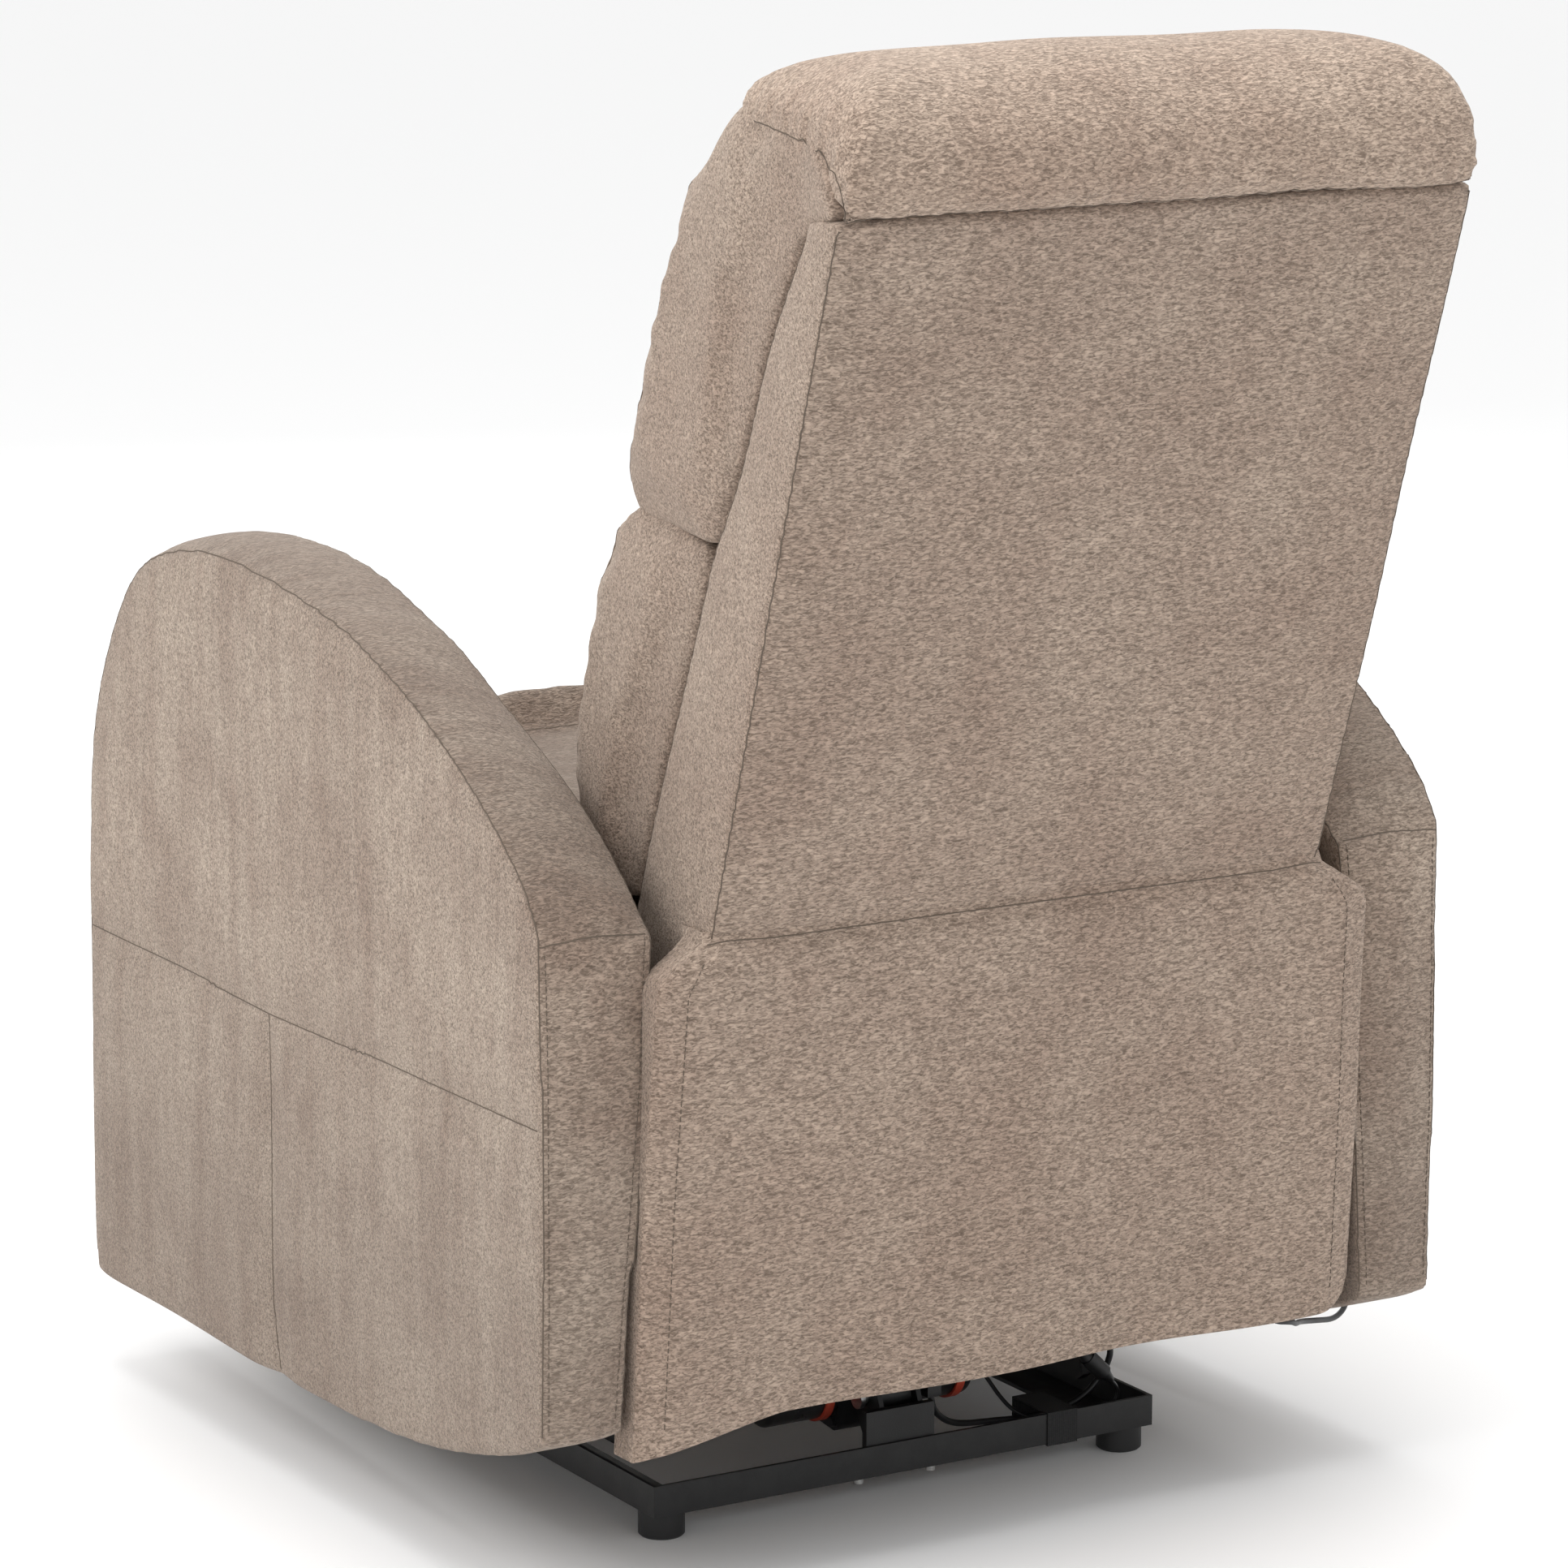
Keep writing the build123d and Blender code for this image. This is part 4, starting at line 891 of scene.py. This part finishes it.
def top_band(thread):
    """The roll over the top of the back, gathered into its end seams."""
    across = [-0.262, -0.260, -0.256, -0.250, -0.243, -0.236, -0.226, -0.216, -0.203, -0.190, -0.170, -0.10, 0]
    stations = across + [-x for x in across[::-1][1:]]
    piece = between_outlines("top_band_roll", [band_ring(x) for x in stations])
    knitted(piece, 0.006, 3)
    stuffed(piece, 2.5, 0.005, frames=12)
    refined(piece)
    uneven(piece, 0.11, 0.0028, 41)
    rear = [(x, 0.4830, 1.0015) for x in np.linspace(-0.260, 0.260, 30)]
    side = [(BACK_HALF, y, z) for y, z in eased(BAND_EDGE[::-1], 4)]
    ends = [side, mirrored(side)]
    pull_in(piece, ends, 0.020, 0.0030, gather=0.0016, pitch=0.015)
    pull_in(piece, [rear], 0.018, 0.0026, gather=0.0009, pitch=0.019)
    pull_in(piece, ends + [rear], 0.004, 0.0018)
    shade_smooth(piece)
    # The top roll gets the lighter copy of the cloth, painted light from above.
    give(piece, lit_band_chenille)
    thread.seam(piece, rear)
    for path in ends:
        thread.seam(piece, path)
    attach(piece, "back")
    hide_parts("top_band")


# ---- seat and footrest --------------------------------------------------------------------------


def seat_cushion(thread):
    """The seat with its front roll, the valley behind the roll and a strip that hangs over the footrest."""
    front, rear, low, high, roll = -0.460, 0.166, 0.386, 0.480, 0.522
    strip = [(front + 0.034, low), (front + 0.030, 0.361), (front + 0.002, 0.361), (front, low)]
    front_roll = [(front, roll - 0.022), (front + 0.012, roll - 0.004), (front + 0.028, roll),
                  (front + 0.046, roll - 0.008), (front + 0.058, high + 0.006)]
    top = [(front + 0.070, high), (-0.150, high + 0.003), (rear, high - 0.004), (rear, low)]
    outline = strip + front_roll + top
    piece = box_pad("seat_cushion_pad", outline, 0.276, 0.02, 0.008, 3)
    stuffed(piece, 4.0, 0.016)
    refined(piece)
    limit = points_of(piece)
    underside = np.where(limit[:, 1] > -0.420, 0.379, 0.3655)
    limit[:, 2] = np.clip(limit[:, 2], underside, 0.540)
    limit[:, 0] = np.clip(limit[:, 0], -0.289, 0.289)
    put_points(piece, limit)
    uneven(piece, 0.16, 0.0025, 57)
    upper = [(-0.279, 0.150, 0.470), (-0.279, -0.440, 0.470), (-0.262, -0.470, 0.469), (0.262, -0.470, 0.469),
             (0.279, -0.440, 0.470), (0.279, 0.150, 0.470)]
    lower = [(x, y, 0.398) for x, y, _ in upper]
    valley = [(-0.272, -0.398, 0.486), (0.272, -0.398, 0.486)]
    pull_in(piece, [upper, lower, valley], 0.014, 0.0030, gather=0.0008, pitch=0.024)
    pull_in(piece, [upper, lower, valley], 0.0045, 0.0018)
    shade_smooth(piece)
    give(piece, chenille_arm)
    for path in (upper, lower, valley):
        thread.seam(piece, path)
    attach(piece, "chair")
    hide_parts("seat_cushion")


def footrest_pad(thread):
    """The pad on the footrest board, flat behind and with a seam across its middle."""
    outline = [(-0.451, 0.110), (-0.470, 0.110), (-0.479, 0.122), (-0.4795, 0.235), (-0.479, 0.350), (-0.470, 0.363),
               (-0.451, 0.363)]
    piece = box_pad("footrest_cushion", outline, 0.272, 0.05, 0.0065, 3)
    stuffed(piece, 3.0, 0.010)
    refined(piece)
    flat = points_of(piece)
    flat[:, 1] = np.clip(flat[:, 1], -0.496, -0.4502)
    flat[:, 2] = np.clip(flat[:, 2], 0.100, 0.3640)
    put_points(piece, flat)
    uneven(piece, 0.14, 0.002, 71)
    rim = [(-0.268, -0.462, 0.114), (0.268, -0.462, 0.114), (0.268, -0.462, 0.360), (-0.268, -0.462, 0.360),
           (-0.268, -0.462, 0.114)]
    middle = [(-0.270, -0.487, 0.236), (0.270, -0.487, 0.236)]
    pull_in(piece, [middle], 0.030, 0.0060, gather=0.0012, pitch=0.026)
    pull_in(piece, [rim, middle], 0.0045, 0.0018)
    shade_smooth(piece)
    give(piece, chenille_arm)
    thread.seam(piece, rim)
    thread.seam(piece, middle)
    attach(piece, "footrest")
    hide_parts("footrest_pad")


# ---- rear skirt ---------------------------------------------------------------------------------

SKIRT_TOP, SKIRT_HEM = 0.497, 0.134
SKIRT_HALF_WIDTHS = [(SKIRT_TOP, 0.2620), (0.488, 0.2640), (0.464, 0.2980), (0.455, 0.3010), (0.300, 0.3055),
                     (SKIRT_HEM, 0.3100)]


def skirt_point(across, z):
    """Where the skirt's rear face is: across runs from -1 to 1, z is the height before the hem is pulled."""
    heights, widths = zip(*SKIRT_HALF_WIDTHS[::-1])
    half = np.interp(z, heights, widths)
    low = max(0.0, (0.300 - z) / 0.166)
    turned = max(0.0, abs(across) - 1)
    across = max(-1.0, min(1.0, across))
    x = across * half
    y = np.interp(z, (SKIRT_HEM, 0.455, 0.480, SKIRT_TOP), (0.2900, 0.3155, 0.3165, 0.3090)) - 0.30 * turned
    y += 0.0035 * math.sin(7.3 * across + 1.2) * low + 0.004 * low * math.sin(2.6 * across + 0.4)
    y -= 0.006 * max(0.0, abs(across) - 0.93) / 0.07
    hem = 0.0
    if across > 0.62:
        pull = (across - 0.62) / 0.38
        hem = -0.020 * pull**1.8 - 0.003 * math.sin(math.pi * pull)
    if across < -0.90:
        hem = 0.024 * (1 - math.sqrt(max(0.0, 1 - ((-across - 0.90) / 0.10) ** 2)))
    return x, y, z + hem * low**1.5


def rear_skirt(thread):
    """Double cloth with turned edges, sewn to the foot of the back."""
    rows = 86
    heights = np.concatenate([np.linspace(SKIRT_TOP, 0.450, 18), np.linspace(0.446, SKIRT_HEM, rows - 18)])
    turn = np.linspace(0.085, 0.0, 7)[:-1]
    stations = np.concatenate([-1 - turn, np.linspace(-1, 1, 150), 1 + turn[::-1]])
    columns = len(stations)
    grid = [skirt_point(a, z) for z in heights for a in stations]
    faces = [
        (r * columns + c, (r + 1) * columns + c, (r + 1) * columns + c + 1, r * columns + c + 1)
        for r in range(rows - 1) for c in range(columns - 1)
    ]
    piece = new_piece("rear_skirt_cloth", grid, faces)
    thick = piece.modifiers.new("double cloth", "SOLIDIFY")
    thick.thickness, thick.offset = SKIRT_THICKNESS, 0.0
    rounded = piece.modifiers.new("turned edge", "BEVEL")
    rounded.width, rounded.segments, rounded.angle_limit = 0.0018, 2, math.radians(50)
    settle(piece)
    if sum(p.normal.y * p.area for p in piece.data.polygons if p.center.y > 0.30) < 0:
        piece.data.flip_normals()
    edges = []
    for side in (-1, 1):
        edges.append([skirt_point(side * (1 - inset), z) for z, inset in
                      ((0.478, 0.035), (0.455, 0.064), (0.300, 0.062), (0.150, 0.060))])
    top = [skirt_point(a, 0.4900) for a in np.linspace(-0.995, 0.995, 12)]
    uneven(piece, 0.15, 0.0022, 83)
    pull_in(piece, edges, 0.012, 0.0010, gather=0.0007, pitch=0.017)
    pull_in(piece, [top], 0.012, 0.0014, gather=0.0006)
    shade_smooth(piece)
    give(piece, chenille_rear)
    for path in edges:
        thread.stitches(piece, [(x, y + 0.004, z) for x, y, z in path])
    thread.seam(piece, [(x, y + 0.004, z) for x, y, z in top])
    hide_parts("rear_skirt")
    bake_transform(piece)


# ---- handset pocket -----------------------------------------------------------------------------


def handset_pocket(thread):
    """A flat sewn sleeve, open at the top, with its hem's row of stitches near the top and one more near its foot."""
    low, high = 0.436, 0.556
    section = [(-0.3872, -0.034), (-0.3895, -0.0365), (-0.3970, -0.0375), (-0.4018, -0.0345), (-0.4030, -0.0270),
               (-0.4034, -0.0100), (-0.4030, 0.0070), (-0.4018, 0.0145), (-0.3970, 0.0175), (-0.3895, 0.0165),
               (-0.3872, 0.014)]
    around = eased(section, 4)
    levels = np.concatenate([[low, low + 0.001, low + 0.003], np.linspace(low + 0.008, high - 0.012, 12),
                             [high - 0.009, high - 0.008, high - 0.004, high]])
    verts = []
    for z in levels:
        swell = 1 + 0.012 * math.sin(math.pi * (z - low) / (high - low))
        for x, y in around:
            verts.append((x, HANDSET_Y + (y - HANDSET_Y) * swell, z))
    count = len(around)
    faces = [(r * count + c, r * count + c + 1, (r + 1) * count + c + 1, (r + 1) * count + c)
             for r in range(len(levels) - 1) for c in range(count - 1)]
    piece = new_piece("handset_pocket_sleeve", verts, faces)
    thick = piece.modifiers.new("cloth", "SOLIDIFY")
    thick.thickness, thick.offset = POCKET_THICKNESS, 0.0
    settle(piece)
    shade_smooth(piece)
    give(piece, chenille_arm)
    for z in (high - 0.010, low + 0.006):
        thread.stitches(piece, [(x - 0.001, y, z) for x, y in around[6:-6]])
    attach(piece, "chair")
    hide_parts("handset_pocket")


# ---- the whole chair ----------------------------------------------------------------------------

studio()
finish_cad_nodes()
leads()
# Each collects the stitches and the seam lines of painted shade for one body.
chair_thread_and_seam_shade, back_thread_and_seam_shade, footrest_thread_and_seam_shade = (Thread(f"{part}_stitching_and_seam_shade") for part in ("chair", "back", "footrest"))
arm(1, chair_thread_and_seam_shade)
arm(-1, chair_thread_and_seam_shade)
seat_cushion(chair_thread_and_seam_shade)
handset_pocket(chair_thread_and_seam_shade)
back_shell(back_thread_and_seam_shade)
head_pillow(back_thread_and_seam_shade)
lumbar_pillow(back_thread_and_seam_shade)
top_band(back_thread_and_seam_shade)
footrest_pad(footrest_thread_and_seam_shade)
rear_skirt(chair_thread_and_seam_shade)
chair_thread_and_seam_shade.finished("chair")
back_thread_and_seam_shade.finished("back")
footrest_thread_and_seam_shade.finished("footrest")
